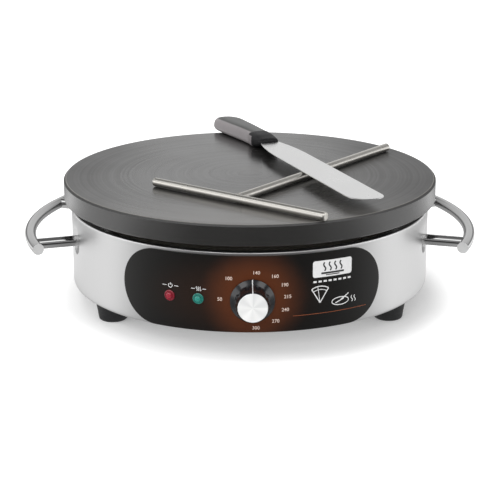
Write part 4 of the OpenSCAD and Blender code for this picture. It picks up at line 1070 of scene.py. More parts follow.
@dataclass
class ControlPanel:
    """Thin overlay with round ends, wrapped on the drum's front, and its print."""

    outer_r: float = PANEL_R
    inner_r: float = 192.55
    height: float = 78.5
    length: float = 279.0
    middle_z: float = 63.25
    shaft_hole: float = 7.0
    finish: Finish = GlowPanel("black_panel")
    ink: Finish = Ink("dial_ink", (0.78, 0.62, 0.54))
    dark: Finish = Ink("dark_ink", (0.02, 0.02, 0.02))
    white: Finish = Ink("white_ink", (0.82, 0.82, 0.82))
    copper: Finish = Ink("copper_ink", (0.35, 0.09, 0.03))

    def on_wall(self, arc: float, z: float, radius: float) -> Point3:
        """A point of the panel, from its place along the curve."""
        angle = arc / self.outer_r
        return (radius * math.sin(angle), -radius * math.cos(angle), z)

    def sheet(self) -> Item:
        """Builds the overlay itself."""
        half_h = self.height / 2
        straight = self.length / 2 - half_h
        across, up, crease = 160, 36, 50.0
        verts: list[Point3] = []
        for j in range(up + 1):
            level = half_h * math.sin(math.pi * (j / up - 0.5))
            reach = straight + math.sqrt(max(half_h**2 - level**2, 0.0))
            for i in range(across + 1):
                verts.append(self.on_wall(reach * (2 * i / across - 1), self.middle_z + level, self.outer_r))
        faces = around_shaft(verts, grid_faces(up + 1, across + 1, closed=False), self.shaft_hole)
        panel = make_object("panel_dressed", verts, faces)
        if panel.data.polygons[0].normal.y > 0:
            panel.data.flip_normals()
        thick = panel.modifiers.new("sheet", "SOLIDIFY")
        thick.thickness = (self.outer_r - self.inner_r) * MM
        thick.offset = -1.0
        edge = panel.modifiers.new("edge", "BEVEL")
        edge.width = 0.3 * MM
        edge.segments = 2
        edge.limit_method = "ANGLE"
        edge.angle_limit = math.radians(crease)
        shade(baked(panel), crease)
        self.finish.dress(panel)
        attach(panel, "cooker")
        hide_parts("control_panel")
        return panel

    def wrap(self, item: Item, arc: float, z: float, ink: Finish) -> Item:
        """Lays a flat mesh on the panel; its X runs along the curve, its Y up and its Z out."""
        for vert in item.data.vertices:
            flat = vert.co / MM
            vert.co = Vector(self.on_wall(arc + flat.x, z + flat.y, self.outer_r + flat.z)) * MM
        item.data.shade_flat()
        ink.dress(item)
        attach(item, "cooker")
        return item

    def word(self, name: str, text: str, arc: float, z: float, size: float, ink: Finish) -> Item:
        """Prints one number, centred on its place."""
        curve = bpy.data.curves.new(name, "FONT")
        curve.body = text
        curve.size = size * MM
        curve.align_x, curve.align_y = "CENTER", "CENTER"
        curve.extrude = 0.04 * MM
        curve.offset = 0.05 * MM
        curve.resolution_u = 3
        flat = placed(name + "_flat", curve)
        bpy.context.view_layer.update()
        mesh = bpy.data.meshes.new_from_object(flat.evaluated_get(bpy.context.evaluated_depsgraph_get()))
        bpy.data.objects.remove(flat)
        return self.wrap(placed(name, mesh), arc, z, ink)

    def strokes(
        self, name: str, lines: Sequence[Sequence[Point3]], arc: float, z: float, ink: Finish, rise: float = 0.04,
    ) -> Item:
        """Prints a drawing made of strokes.

        Args:
            name: the piece's name.
            lines: the strokes, each a run of (x, y, width) in millimetres.
            arc: place along the curve.
            z: height.
            ink: what it is printed in.
            rise: how proud the print stands.

        Returns:
            The print.
        """
        depth, layer_rise = 0.05, 0.002
        parts = []
        for layer, line in enumerate(lines):
            spots = [Vector(point[:2]) for point in line]
            closed = (spots[0] - spots[-1]).length < 1e-6
            verts: list[Point3] = []
            for i, spot in enumerate(spots):
                before = spots[i - 1] if i else (spots[-2] if closed else spot)
                after = spots[i + 1] if i < len(spots) - 1 else (spots[1] if closed else spot)
                run = (after - before).normalized()
                side = Vector((-run.y, run.x)) * line[i][2] / 2
                for edge in (spot + side, spot - side):
                    verts += [(edge.x, edge.y, level) for level in (-depth, rise + layer_rise * layer)]
            faces: list[Face] = []
            last = 4 * (len(spots) - 1)
            for a in range(0, last, 4):
                b = a + 4
                faces += [(a + 1, b + 1, b + 3, a + 3), (a, a + 2, b + 2, b)]
                faces += [(a, b, b + 1, a + 1), (a + 2, a + 3, b + 3, b + 2)]
            if not closed:
                faces += [(0, 1, 3, 2), (last, last + 2, last + 3, last + 1)]
            parts.append((verts, faces))
        return self.wrap(make_object(name, *combined(parts)), arc, z, ink)

    def signs(self) -> list[Item]:
        """Prints the plain signs over the lamps, the plaque and ornament at the right and the copper line."""
        sides = (-1.0, 1.0)
        mains = [ring_line(0.0, 0.0, 2.1, 125.0, 415.0, 0.6), even_line([(0.0, 0.3), (0.0, 2.9)], 0.6)]
        mains += [even_line([(side * 4.2, 0.0), (side * 8.6, 0.0)], 0.55) for side in sides]
        heat = [wave_line(x, -2.2, 2.2, 0.55, 0.6) for x in (-1.9, 0.0, 1.9)]
        heat += [even_line([(side * 3.9, 0.0), (side * 7.6, 0.0)], 0.55) for side in sides]
        plaque = [plate_line(43.0, 17.0, 2.6)]
        dish = [even_line([(-12.5, -4.6), (12.5, -4.6)], 1.9), even_line([(-7.5, -6.6), (7.5, -6.6)], 1.0)]
        dish += [wave_line(x, -2.4, 6.4, 1.1, 1.5) for x in (-9.0, -3.0, 3.0, 9.0)]
        dashes = [even_line([(5.4 * k - 20.7, 0.0), (5.4 * k - 17.3, 0.0)], 1.9) for k in range(8)]
        crepe = [ring_line(0.0, -9.0, 17.0, 58.0, 122.0, 1.0), ring_line(0.0, -9.0, 13.6, 60.0, 120.0, 0.7)]
        crepe += [even_line([(side * 9.0, 5.4), (0.0, -9.0)], 1.0) for side in sides]
        crepe += [even_line([(-2.6, 7.8), (0.0, -9.0)], 0.6)]
        tool = [ring_line(0.0, 0.0, 9.5, 0.0, 360.0, 0.9, 0.42), even_line([(-5.5, -1.6), (4.0, 2.2)], 1.1)]
        tool += [even_line([(-0.8, 0.3), (9.5, 6.8)], 1.0)]
        tool += [wave_line(x, -3.0, 3.4, 0.9, 0.8) for x in (13.5, 17.0)]
        rule = [even_line([(-41.0, 0.0), (41.0, 0.0)], 0.45)]
        return [
            self.strokes("sign_mains", mains, -83.0, 67.4, self.white),
            self.strokes("sign_heat", heat, -53.2, 67.0, self.white),
            self.strokes("plaque", plaque, 81.5, 85.2, self.white),
            self.strokes("plaque_sign", dish, 81.5, 85.2, self.dark, 0.07),
            self.strokes("dashes", dashes, 81.5, 72.4, self.white),
            self.strokes("ornament_crepe", crepe, 68.0, 59.6, self.white),
            self.strokes("ornament_tool", tool, 90.5, 49.5, self.white),
            self.strokes("copper_line", rule, 81.0, 39.5, self.copper),
        ]

    def build(self) -> list[Item]:
        """Builds the overlay and its print.

        Returns:
            The pieces.
        """
        sheet = self.sheet()
        marks = [
            ("50", -32.1, 57.6), ("100", -23.3, 79.2), ("140", 3.7, 85.3), ("160", 21.9, 81.3), ("190", 31.6, 72.1),
            ("215", 34.7, 59.9), ("240", 32.4, 46.5), ("270", 22.8, 35.2), ("300", 3.4, 28.6),
        ]
        words = [self.word(f"dial_{text}", text, arc, z, 5.0, self.ink) for text, arc, z in marks]
        return [sheet, *words, *self.signs()]


@dataclass
class Lamp:
    """Tinted lens with a brim and a raised middle."""

    name: str
    node: str
    angle: float
    colour: Colour
    slot: str
    base_r: float = 193.6

    def build(self) -> Item:
        """Builds and dresses the lens.

        Returns:
            The lens.
        """
        section = rounded([
            (0.0, -2.4, 0.0), (3.9, -2.4, 0.0), (3.9, 0.0, 0.0), (5.6, 0.0, 0.2), (5.6, 0.7, 0.5), (4.9, 1.2, 0.4),
            (4.1, 1.15, 0.2), (3.7, 0.8, 0.2), (3.25, 1.0, 0.2), (3.0, 2.3, 0.8), (2.2, 3.0, 1.0), (0.0, 3.2, 0.0),
        ], 4)
        place = outwards(-90.0 - self.angle, self.base_r, KNOB_Z)
        finish = LampLens(self.slot, self.colour, tuple(place @ Vector((0.0, 0.0, 2.0))))
        lens = dressed(self.name, lathe(section, 48), finish, place=place)
        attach(lens, "cooker")
        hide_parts(self.node)
        return lens


@dataclass
class Knob:
    """Skirted knob with a fluted grip, spun cap and pointer line, in front of the panel."""

    back_y: float = 194.35
    skirt_r: float = 22.0
    length: float = 21.5
    cap_r: float = 14.7
    flutes: int = 10
    flute_r: float = 5.5
    flute_depth: float = 1.3
    flute_low: float = 5.4
    flute_ease: float = 1.2
    flute_blend: float = 0.35
    grip_r: float = 17.5
    face_r: float = 14.75
    recess: float = 1.4
    black: Finish = Moulding("knob_black", (0.007, 0.008, 0.010), 0.14, 0.003, 0.35)
    cap_finish: Finish = SpunCap("spun_cap")
    line: Finish = Ink("white_line", (0.85, 0.85, 0.85))

    def place(self) -> Matrix:
        """Knob's own frame: +Z to the front, +Y up."""
        return Matrix.Translation((0.0, -self.back_y, KNOB_Z)) @ Matrix.Rotation(math.radians(90.0), 4, "X")

    def outline(self) -> list[Point2]:
        """Section of the knob without its flutes."""
        floor = self.length - self.recess
        return rounded([
            (4.0, 0.0, 0.0), (self.skirt_r, 0.0, 0.3), (self.skirt_r, 1.2, 0.5), (19.6, 3.4, 1.2), (17.6, 5.2, 0.8),
            (17.2, 8.0, 0.0), (16.6, 12.5, 0.0), (15.9, 19.0, 1.4), (15.3, self.length, 0.6),
            (self.face_r, self.length, 0.2), (self.face_r, floor, 0.0), (0.0, floor, 0.0),
        ], 5)

    def on_grip(self, radius: float) -> bool:
        """Whether a point of the section lies well outside the recess of the cap."""
        margin = 0.15
        return radius >= self.face_r + margin

    def fluted(self, radius: float, height: float, angle: float) -> float:
        """Radius of the grip after its flutes are cut."""
        step = math.tau / self.flutes
        off = (angle - math.pi / 2) % step - step / 2
        centre = self.grip_r - self.flute_depth + self.flute_r
        inside = self.flute_r**2 - (centre * math.sin(off)) ** 2
        if height < self.flute_low or not self.on_grip(radius) or inside <= 0.0:
            return radius
        cut = centre * math.cos(off) - math.sqrt(inside)
        share = min(max((height - self.flute_low) / self.flute_ease, 0.0), 1.0)
        return radius - (radius - smooth_min(radius, cut, self.flute_blend)) * share

    def grip(self) -> Item:
        """Builds the black body."""
        section = self.outline()
        line: list[Point2] = []
        for (r0, z0), (r1, z1) in zip(section, section[1:]):
            parts = max(1, int(abs(z1 - z0) / 0.8)) if self.on_grip(r1) else 1
            line += [(r0 + (r1 - r0) * k / parts, z0 + (z1 - z0) * k / parts) for k in range(parts)]
        line.append(section[-1])
        steps = 240
        verts = []
        for radius, height in line:
            for k in range(steps):
                angle = math.tau * k / steps
                out = self.fluted(radius, height, angle)
                verts.append((out * math.cos(angle), out * math.sin(angle), height))
        faces = [*grid_faces(len(line), steps), tuple(range(steps))]
        return dressed("knob_dressed", (verts, faces), self.black, 40.0, self.place())

    def cap(self) -> Item:
        """Builds the spun cap."""
        low, radius = self.length - self.recess, self.cap_r
        section = rounded([
            (0.0, low, 0.0), (radius, low, 0.0), (radius, low + 1.35, 0.35), (radius - 0.9, low + 1.75, 0.3),
            (radius - 1.3, low + 1.6, 0.1), (0.0, low + 1.6, 0.0),
        ], 4)
        return dressed("knob_cap_dressed", lathe(section, 160), self.cap_finish, place=self.place())

    def pointer(self) -> Item:
        """Builds the raised line from the skirt to the cap."""
        run = [
            (21.9, 1.3), (19.75, 3.35), (17.75, 5.2), (17.3, 7.5), (16.7, 12.0), (16.0, 18.8), (15.4, 21.3),
            (15.1, 21.6),
        ]
        across = ((-0.6, -0.6), (0.6, -0.6), (0.42, 0.14), (-0.42, 0.14))
        solid = loft([[(x, radius + out, height) for x, out in across] for radius, height in run])
        return dressed("pointer_dressed", solid, self.line, 30.0, self.place())

    def build(self) -> list[Item]:
        """Builds the whole knob.

        Returns:
            Body, cap and pointer.
        """
        made = [self.grip(), self.cap(), self.pointer()]
        nodes = ("knob", "knob_cap", "knob_pointer")
        for item, node, slot in zip(made, nodes, ("knob_black", "spun_cap", "white_line")):
            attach(item, "knob")
            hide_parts(node)
        return made


@dataclass
class Handles:
    """Two bowed bars on posts, one at each side."""

    turns: tuple[float, float] = (3.5, 176.5)
    bar_half_angle: float = 26.0
    post_angle: float = 20.0
    beyond_wall: float = 210.0
    finish: Finish = SheetMetal("chrome_bar", (0.44, 0.44, 0.44), 0.08, Lay.NONE, smudge=0.04, depth=0.0002)
    cut: Finish = Moulding("sawn_end", (0.58, 0.58, 0.58), 0.35, 0.03)

    def build(self) -> list[Item]:
        """Builds both handles from one tree.

        Returns:
            The handles.
        """
        recipe = handle_recipe()
        spread = {"Half Angle": math.radians(self.bar_half_angle), "Post Angle": math.radians(self.post_angle)}
        made = []
        for side, turn in zip(("right", "left"), self.turns):
            bar = recipe.make(f"handle_{side}_dressed", self.finish, {"Turn": math.radians(turn), **spread}, 50.0)
            bar.data.materials.append(self.cut.material())
            for face in bar.data.polygons:
                closes_rod = len(face.vertices) > 8
                if closes_rod and math.hypot(*face.center[:2]) > self.beyond_wall * MM:
                    face.material_index = 1
            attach(bar, "cooker")
            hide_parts(f"handle_{side}")
            made.append(bar)
        return made


@dataclass
class Feet:
    """Three tapered feet, moulded with a recess for the stud's nut."""

    finish: Finish = Moulding("black_rubber", (0.012, 0.012, 0.013), 0.5, 0.05)

    def build(self) -> Item:
        """Builds the feet as one ring of copies.

        Returns:
            The feet.
        """
        section = rounded([
            (4.3, 22.5, 0.0), (4.3, 12.0, 0.0), (9.5, 12.0, 0.3), (9.5, 0.0, 0.6), (13.5, 0.0, 0.6), (15.0, 1.5, 0.8),
            (15.9, 7.4, 0.3), (15.75, 7.9, 0.2), (16.0, 8.4, 0.2), (18.4, 21.5, 0.7), (17.9, 22.5, 0.0),
            (4.3, 22.5, 0.0),
        ], 4)
        part = make_object("one_foot", *lathe(section, 56))
        recipe = ring_recipe()
        sizes = {
            "Part": part, "Count": float(len(FOOT_ANGLES)), "Radius": FOOT_RING_R * MM,
            "First Angle": math.radians(FOOT_ANGLES[0]),
        }
        feet = recipe.make("feet_dressed", self.finish, sizes, 40.0)
        bpy.data.objects.remove(part)
        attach(feet, "cooker")
        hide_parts("foot_front_left", "foot_front_right", "foot_rear")
        return feet


@dataclass
class Loose:
    """A piece that lies on the plate in a frame of its own, turned about the upright."""

    origin: Point3
    turn: float

    def place(self) -> Matrix:
        """The piece's own frame: +X along it."""
        return Matrix.Translation(self.origin) @ Matrix.Rotation(math.radians(self.turn), 4, "Z")


@dataclass
class Spreader(Loose):
    """T of two tubes with plugged ends and a welded web; its crossbar lies along +Y."""

    origin: Point3 = (-14.6, -121.0, 140.3)
    turn: float = 51.8
    tube_r: float = 4.5
    cross_len: float = 218.0
    grip_len: float = 279.0
    web_r: float = 11.0
    web_thin: float = 1.9
    web_swell: float = 0.44
    web_bulge: float = 0.56
    web_root: float = 3.4
    finish: Finish = SheetMetal(
        "satin_tube", (0.66, 0.64, 0.60), 0.28, Lay.NONE, depth=0.0, smudge=0.03, grain=0.02,
    )

    def tube(self, name: str, start: float, end: float, turned: Matrix, both: bool) -> Item:
        """Builds one tube along the turned +Z, with a rounded plug in its end or in both ends."""
        r, steps = self.tube_r, 40
        tip = [
            (r, end - 2.0, 0.0), (r, end - 1.6, 0.1), (r - 0.25, end - 1.5, 0.1), (r - 0.05, end - 1.3, 0.1),
            (r - 0.1, end - 0.5, 0.5), (r - 1.2, end, 0.7), (0.0, end, 0.0),
        ]
        tail = [(r - 1.0, start, 0.0), (r, start, 0.0)]
        if both:
            tail = [(a, start + end - b, c) for a, b, c in reversed(tip)]
        verts, faces = lathe(rounded([*tail, *tip], 4), steps)
        if not both:
            faces.append(tuple(range(steps)))
        return dressed(name, (verts, faces), self.finish, 30.0, self.place() @ turned)

    def web(self) -> Item:
        """Builds the flared weld between the tubes."""
        reach = self.tube_r + 1.0 + self.web_r
        steps, around_steps = 22, 8
        rings = []
        for i in range(steps + 1):
            bend = math.radians(180.0 + 90.0 * i / steps)
            x = reach + self.web_r * math.cos(bend)
            y = reach + self.web_r * math.sin(bend)
            thick = self.web_thin + self.web_swell * (1 - i / steps)
            ring = []
            for k in range(around_steps + 1):
                around = math.pi * (k / around_steps - 0.5)
                inset = self.web_bulge * (1 - math.cos(around))
                ring.append((x - inset, y - inset, thick * math.sin(around)))
            root = ring[0][1]
            rings.append([*ring, (self.web_root, root, ring[-1][2]), (self.web_root, root, ring[0][2])])
        sides = [loft([[(x, side * y, z) for x, y, z in ring] for ring in rings]) for side in (-1.0, 1.0)]
        return dressed("spreader_web_dressed", combined(sides), self.finish, 50.0, self.place())

    def build(self) -> list[Item]:
        """Builds the spreader.

        Returns:
            Crossbar, grip and web.
        """
        half = self.cross_len / 2
        along_y = Matrix.Rotation(math.radians(-90.0), 4, "X")
        along_x = Matrix.Rotation(math.radians(90.0), 4, "Y")
        cross = self.tube("crossbar_dressed", -half, half, along_y, True)
        grip = self.tube("grip_dressed", self.tube_r - 1.6, self.grip_len, along_x, False)
        web = self.web()
        cross_nodes = ("spreader_crossbar", "spreader_plugs")
        for item, nodes in ((cross, cross_nodes), (grip, ("spreader_grip",)), (web, ("spreader_web",))):
            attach(item, "spreader")
            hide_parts(*nodes)
        return [cross, grip, web]


@dataclass
class Spatula(Loose):
    """Long flexible blade with a moulded handle, dark on top, its lower side painted paler as sheen."""

    origin: Point3 = (24.5, 96.0, 145.7)
    turn: float = -68.9
    blade_len: float = 260.0
    blade_w: float = 37.0
    blade_finish: Finish = SheetMetal("blade_steel", (0.90, 0.90, 0.89), 0.3, Lay.NONE, depth=0.0004)
    grip_tone: Colour = (0.034, 0.036, 0.033)
    bolster_tone: Colour = (0.008, 0.008, 0.009)
    grip_low: float = -9.9

    def blade(self) -> Item:
        """Builds the blade."""
        half, tip = self.blade_w / 2, self.blade_len
        near_r, far_r = 21.0, 12.0
        side = [(-8.0, 7.0), (0.0, 11.5), (17.0, 15.0), (38.0, 17.5), (60.0, 18.5)]
        side += [(x, half) for x in (110.0, 160.0, 205.0)]
        edge = [
            *((x, -y) for x, y in side), *corner_arc(tip - near_r, near_r - half, near_r, -90.0, 16),
            *corner_arc(tip - far_r, half - far_r, far_r, 0.0, 12), *reversed(side),
        ]
        middle_x, half_x = 120.0, 130.0
        rings = []
        for level, inset in ((-0.6, 0.35), (-0.35, 0.05), (0.0, 0.0), (0.35, 0.05), (0.6, 0.35)):
            ring = []
            for x, y in edge:
                inward = math.copysign(inset, y) if abs(y) > 1 else 0.0
                ring.append((x - (x - middle_x) / half_x * inset, y - inward, level))
            rings.append(ring)
        return dressed("blade_dressed", loft(rings), self.blade_finish, 15.0, self.place())

    def section(
        self, x: float, middle: float, half: float, low: float, high: float, power: float, lean: float = 0.0,
    ) -> list[Point3]:
        """One closed ring of the handle, a squarish oval.

        Args:
            x: place along the handle.
            middle: middle of its width.
            half: half its width.
            low: lowest height.
            high: highest height.
            power: 2 is an oval, more is squarer.
            lean: how far the top leans to the near side.

        Returns:
            The ring's points.
        """
        steps = 48
        ring = []
        for k in range(steps):
            angle = math.tau * k / steps
            y, z = (math.copysign(abs(part) ** (2 / power), part) for part in (math.cos(angle), math.sin(angle)))
            ring.append((x, middle + half * y - lean * z, (low + high) / 2 + (high - low) / 2 * z))
        return ring

    def block(self, name: str, keys: Sequence[tuple[float, ...]], steps: int, finish: Finish) -> Item:
        """Builds a moulded block through key sections, and dresses it."""
        rings = [self.section(*key) for key in smooth_keys(keys, steps)]
        return dressed(name, loft(rings), finish, 60.0, self.place())

    def grip(self) -> Item:
        """Builds the grey handle."""
        low = self.grip_low
        keys = [
            (-36.2, 0.6, 10.4, low + 0.4, 5.9, 3.4, -2.6), (-42.0, 0.6, 10.4, low, 6.1, 3.4, -2.8),
            (-56.0, -0.2, 10.8, low, 6.1, 3.4, -3.0), (-75.0, -1.6, 12.0, low, 6.1, 3.4, -3.2),
            (-95.0, -3.4, 13.6, low, 6.1, 3.3, -3.2), (-112.0, -4.8, 14.6, low, 6.1, 3.2, -3.0),
            (-121.0, -6.0, 14.4, low, 6.1, 3.0, -2.4), (-128.0, -7.6, 12.4, low + 0.6, 5.6, 2.8, -1.4),
            (-132.0, -9.4, 8.4, low + 1.8, 4.4, 2.6, -0.6), (-133.6, -10.4, 4.2, low + 4.0, 2.0, 2.4, 0.0),
        ]
        grey = SheenSideMoulding("grip_grey", self.grip_tone, 0.36, 0.03, 0.2, origin=self.origin, turn=self.turn)
        return self.block("grip_grey_dressed", keys, 5, grey)

    def bolster(self) -> Item:
        """Builds the black block in front of the handle."""
        low = self.grip_low
        keys = [
            (-36.0, 0.0, 12.6, low, 6.6, 3.6), (-34.0, 0.0, 13.0, low, 7.1, 3.6), (-26.0, 0.0, 13.0, low, 7.0, 3.6),
            (-18.0, 0.0, 12.6, low + 2.2, 6.6, 3.4), (-10.0, 0.0, 12.2, -6.0, 5.6, 3.2),
            (-4.0, 0.0, 11.4, -3.6, 4.8, 3.0), (-1.2, 0.0, 10.2, -2.8, 3.6, 2.8), (-0.2, 0.0, 8.8, -2.0, 2.2, 2.6),
        ]
        black = SheenSideMoulding(
            "bolster_black", self.bolster_tone, 0.45, 0.02, 0.0, 0.2,
            part_z=149.6, part_along=-25.5, origin=self.origin, turn=self.turn,
        )
        return self.block("bolster_dressed", keys, 4, black)

    def build(self) -> list[Item]:
        """Builds the spatula.

        Returns:
            Blade, handle and bolster.
        """
        made = [self.blade(), self.grip(), self.bolster()]
        nodes = ("spatula_blade", "spatula_handle", "spatula_bolster")
        for item, node, slot in zip(made, nodes, ("blade_steel", "grip_grey", "bolster_black")):
            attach(item, "spatula")
            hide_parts(node)
        return made


def smooth_keys(keys: Sequence[tuple[float, ...]], steps: int) -> list[tuple[float, ...]]:
    """Fills in sections between given ones along a smooth curve."""
    line: list[tuple[float, ...]] = []
    last = len(keys) - 1
    for i in range(last):
        a, b, c, d = keys[max(i - 1, 0)], keys[i], keys[i + 1], keys[min(i + 2, last)]
        for k in range(steps):
            t = k / steps
            line.append(tuple(
                0.5 * (2 * q + (r - p) * t + (2 * p - 5 * q + 4 * r - s) * t * t + (3 * q - p - 3 * r + s) * t**3)
                for p, q, r, s in zip(a, b, c, d)
            ))
    return [*line, tuple(keys[last])]


@dataclass
class InnerParts:
    """The CAD's own inner pieces and fastenings, each given its finish."""

    def table(self) -> dict[Finish, tuple[str, ...]]:
        """Which finish each carried-over node wears."""
        zinc = SheetMetal("zinc_sheet", (0.60, 0.61, 0.62), 0.42, Lay.NONE, smudge=0.16, depth=0.01)
        screws = SheetMetal("zinc_fastener", (0.66, 0.66, 0.63), 0.34, Lay.NONE, smudge=0.12, depth=0.006)
        return {
            zinc: (
                "base_plate", "thermostat_bracket", "element_clamp_left", "element_clamp_right", "element_clamp_front",
                "bulb_clip",
            ),
            screws: (
                "base_screws", "plate_studs", "stud_washers", "stud_nuts", "lower_spacers",
                "element_clamp_screws", "bulb_clip_screw", "thermostat_screws", "bracket_screws", "handle_washers",
                "handle_nuts", "earth_stud", "earth_nut", "thermostat_shaft",
            ),
            SheetMetal("bright_spacer", (0.95, 0.95, 0.93), 0.6, Lay.NONE): ("upper_spacers",),
            SheetMetal("dark_steel", (0.16, 0.155, 0.15), 0.5, Lay.ROUND, smudge=0.2): ("heat_shield",),
            Fibre("mineral_wool"): ("insulation_disc",),
            SheetMetal("element_sheath", (0.22, 0.19, 0.16), 0.55, Lay.NONE, smudge=0.2): ("heating_element",),
            SheetMetal("copper", (0.72, 0.34, 0.2), 0.35, Lay.NONE, smudge=0.15): ("thermostat_bulb",),
            Moulding("tan_moulding", (0.35, 0.22, 0.11), 0.45): ("thermostat_body",),
            Moulding("dark_moulding", (0.025, 0.025, 0.027), 0.42): (
                "lamp_body_red", "lamp_body_green", "gland_body", "gland_nut", "gland_locknut",
            ),
            Moulding("seal_rubber", (0.015, 0.015, 0.015), 0.65, 0.06): ("gland_seal",),
            Moulding("white_ceramic", (0.72, 0.70, 0.64), 0.3, 0.01, 0.2): ("terminal_block",),
            SheetMetal("brass_terminal", (0.72, 0.52, 0.24), 0.32, Lay.NONE): ("terminal_screws", "earth_lug"),
            Moulding("brown_wire", (0.14, 0.05, 0.02), 0.5): ("wire_live",),
            Moulding("black_wire", (0.018, 0.018, 0.018), 0.5): ("wire_switched",),
            Moulding("blue_wire", (0.02, 0.08, 0.32), 0.5): ("wire_neutral",),
            Moulding("green_wire", (0.05, 0.25, 0.05), 0.5): ("wire_earth",),
            Moulding("grey_wire", (0.24, 0.24, 0.24), 0.5): ("lamp_wires",),
        }

    def build(self, nodes: dict[str, Item]) -> int:
        """Dresses the nodes.

        Args:
            nodes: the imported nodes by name.

        Returns:
            How many were dressed.
        """
        table = self.table()
        for finish, names in table.items():
            finish.dress(*(nodes[name] for name in names))
        return sum(len(names) for names in table.values())


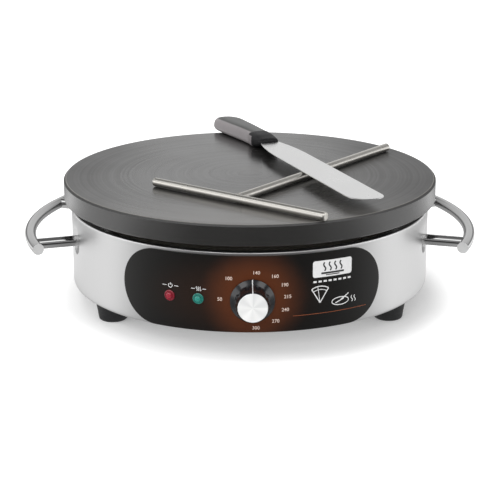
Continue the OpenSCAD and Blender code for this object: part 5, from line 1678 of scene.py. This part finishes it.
@dataclass
class Studio:
    """Pale floor, soft light and the camera."""

    lens: float = 109.6
    eye: Point3 = (-0.0214, -1.595, 0.5467)
    aim: Point3 = (0.0, 0.0, 0.075)
    shift: Point2 = (0.0004, -0.0468)
    # glow of the floor close to the drum and further out; the lower near value is painted shadow
    floor_lift_and_shade: tuple[float, float] = (0.20, 0.56)
    sky: float = 0.62
    front_glare: float = 1.9
    left_glare: float = 0.3
    surround: Stops = greys(
        (0.0, 0.06), (0.16, 0.09), (0.29, 0.36), (0.41, 0.92), (0.58, 0.84), (0.71, 0.98), (0.80, 0.50),
    )
    far_floor: Stops = greys(
        (0.0, 0.06), (0.16, 0.09), (0.29, 0.36), (0.41, 0.92), (0.56, 0.98), (0.68, 1.55), (0.76, 0.62), (0.82, 0.28),
    )
    walls: Stops = greys((0.0, 0.06), (0.16, 0.09), (0.29, 0.24), (0.41, 0.30), (0.62, 0.30), (0.84, 1.04))
    low_back: float = 0.36
    front_wall: float = 0.55
    side_wall: float = 1.9
    ceiling: float = 0.26
    # tone that reflections show under the drum, darker as painted shadow
    painted_shadow_under_drum: float = 0.45
    mirror_level: float = 0.84
    lamp_aim: Point3 = (0.0, 0.0, 0.1)

    def stand(self, name: str, data: bpy.types.ID, spot: Point3, aim: Point3) -> Item:
        """Places a camera or lamp and aims it."""
        item = placed(name, data)
        item.location = spot
        item.rotation_mode = "QUATERNION"
        item.rotation_quaternion = (Vector(aim) - Vector(spot)).to_track_quat("-Z", "Y")
        return item

    def camera(self) -> None:
        """Sets up the camera."""
        data = bpy.data.cameras.new("camera")
        data.lens = self.lens
        data.sensor_width = 36.0
        data.shift_x, data.shift_y = self.shift
        bpy.context.scene.camera = self.stand("camera", data, self.eye, self.aim)

    def floor(self) -> None:
        """Lays the floor; near the drum its glow and the tone it shows in reflections are lowered as painted shadow."""
        half = 12000.0
        corners = [(-half, -half, 0.0), (half, -half, 0.0), (half, half, 0.0), (-half, half, 0.0)]
        floor = make_object("floor", corners, [(0, 1, 2, 3)])
        material = bpy.data.materials.new("floor")
        material.use_nodes = True
        net = Net(material.node_tree)
        x, y, _ = net.parts(net.place())
        side, far = net.heading(x, y), net.length(x, y)
        near = 1.0 - net.step(far, 220.0, 420.0)
        # painted shadow: the floor seen in reflections is darker under the drum
        beneath = 1.0 - net.step(far, 190.0, 250.0)
        tone = net.mix(beneath, net.ramp(side + near * 0.07, self.surround), (self.painted_shadow_under_drum,) * 3)
        tone = net.mix(net.step(far, 420.0, 560.0), tone, net.ramp(side, self.far_floor))
        paint = net.shader("ShaderNodeBsdfDiffuse", {"Color": (0.86, 0.86, 0.86)})
        # painted shadow: the floor's glow is lower close to the drum
        bright = net.step(far, 192.0, 236.0, *self.floor_lift_and_shade)
        lift = net.shader("ShaderNodeEmission", {"Color": WHITE, "Strength": bright})
        mirrored = net.shader("ShaderNodeEmission", {"Color": tone, "Strength": 1.0})
        seen = net.shader("ShaderNodeAddShader", {0: paint, 1: lift})
        net.node("ShaderNodeOutputMaterial", {}, {"Surface": net.by_ray(paint, mirrored, seen)})
        floor.data.materials.append(material)

    def world(self) -> None:
        """Paints the surroundings: white behind, and a darker front for what the surfaces mirror."""
        world = bpy.data.worlds.new("studio")
        bpy.context.scene.world = world
        world.use_nodes = True
        net = Net(world.node_tree)
        x, y, z = net.parts(net.out(net.node("ShaderNodeTexCoord"), "Generated"))
        side = net.heading(x, y)
        front = (1.0 - net.span(side, 0.20, 0.34)) * net.span(z, 0.06, 0.16)
        low = net.span(side, 0.55, 0.70) * (1.0 - net.span(z, 0.05, 0.17))
        flank = net.span(side, 0.33, 0.40) * (1.0 - net.span(side, 0.565, 0.62)) * (1.0 - net.span(z, 0.36, 0.52))
        above = net.span(z, 0.42, 0.66)
        tone = net.ramp(side, self.walls)
        for where, level in (
            (front, self.front_wall), (low, self.low_back), (flank, self.side_wall), (above, self.ceiling),
        ):
            tone = net.mix(where, tone, (level,) * 3)
        band = net.span(z, 0.58, 0.64) * (1.0 - net.span(z, 0.82, 0.90)) * (1.0 - net.span(side, 0.45, 0.62))
        slant = net.unsigned(x * -0.037 + y * 0.965 + z * 0.259)
        strip = (1.0 - net.span(slant, 0.12, 0.24)) * net.span(z, 0.34, 0.50) * net.span(x * -1.0, 0.06, 0.26)
        glare = net.math("MAXIMUM", band * self.front_glare, strip * self.left_glare)

        def backdrop(colour: "Signal | Colour", strength: float) -> Signal:
            """One background shader."""
            return net.shader("ShaderNodeBackground", {"Color": colour, "Strength": strength})

        glow = backdrop(net.mix(glare * 0.25, (0.0, 0.0, 0.0), WHITE), 4.0)
        mirrored = net.shader("ShaderNodeAddShader", {0: backdrop(tone, self.mirror_level), 1: glow})
        shown = net.by_ray(backdrop(WHITE, self.sky), mirrored, backdrop(WHITE, 1.0))
        net.node("ShaderNodeOutputWorld", {}, {"Surface": shown})

    def lamp(self, name: str, spot: Point3, size: float, power: float) -> None:
        """Hangs one soft lamp aimed at the object; surfaces mirror the painted surroundings in its place."""
        data = bpy.data.lights.new(name, "AREA")
        data.shape = "DISK"
        data.size = size
        data.energy = power
        self.stand(name, data, spot, self.lamp_aim).visible_glossy = False

    def build(self) -> None:
        """Builds the whole studio."""
        bpy.context.scene.view_settings.view_transform = "Standard"
        self.camera()
        self.floor()
        self.world()
        self.lamp("overhead", (-0.35, 0.25, 1.7), 1.5, 9.0)
        self.lamp("left_side", (-1.25, -0.30, 0.85), 0.8, 5.0)
        self.lamp("front_fill", (-0.2, -1.7, 0.7), 1.2, 12.0)


def main() -> None:
    """Builds every sub-assembly in order."""
    logging.basicConfig(level=logging.INFO, format="%(name)s: %(message)s")
    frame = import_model()
    Studio().build()
    LOG.info("inner parts dressed: %d", InnerParts().build(frame["nodes"]))
    assemblies: list[Any] = [
        Housing(), ControlPanel(), CookingPlate(), Feet(), Handles(),
        Lamp("lens_red_dressed", "lamp_lens_red", 24.8, (0.20, 0.008, 0.02), "red_lens"),
        Lamp("lens_green_dressed", "lamp_lens_green", 15.9, (0.014, 0.16, 0.13), "green_lens"),
        Knob(), Spreader(), Spatula(),
    ]
    for assembly in assemblies:
        made = assembly.build()
        for item in made if isinstance(made, list) else [made]:
            LOG.info("%s: %d faces", item.name, len(item.data.polygons))


if __name__ == "__main__":
    main()
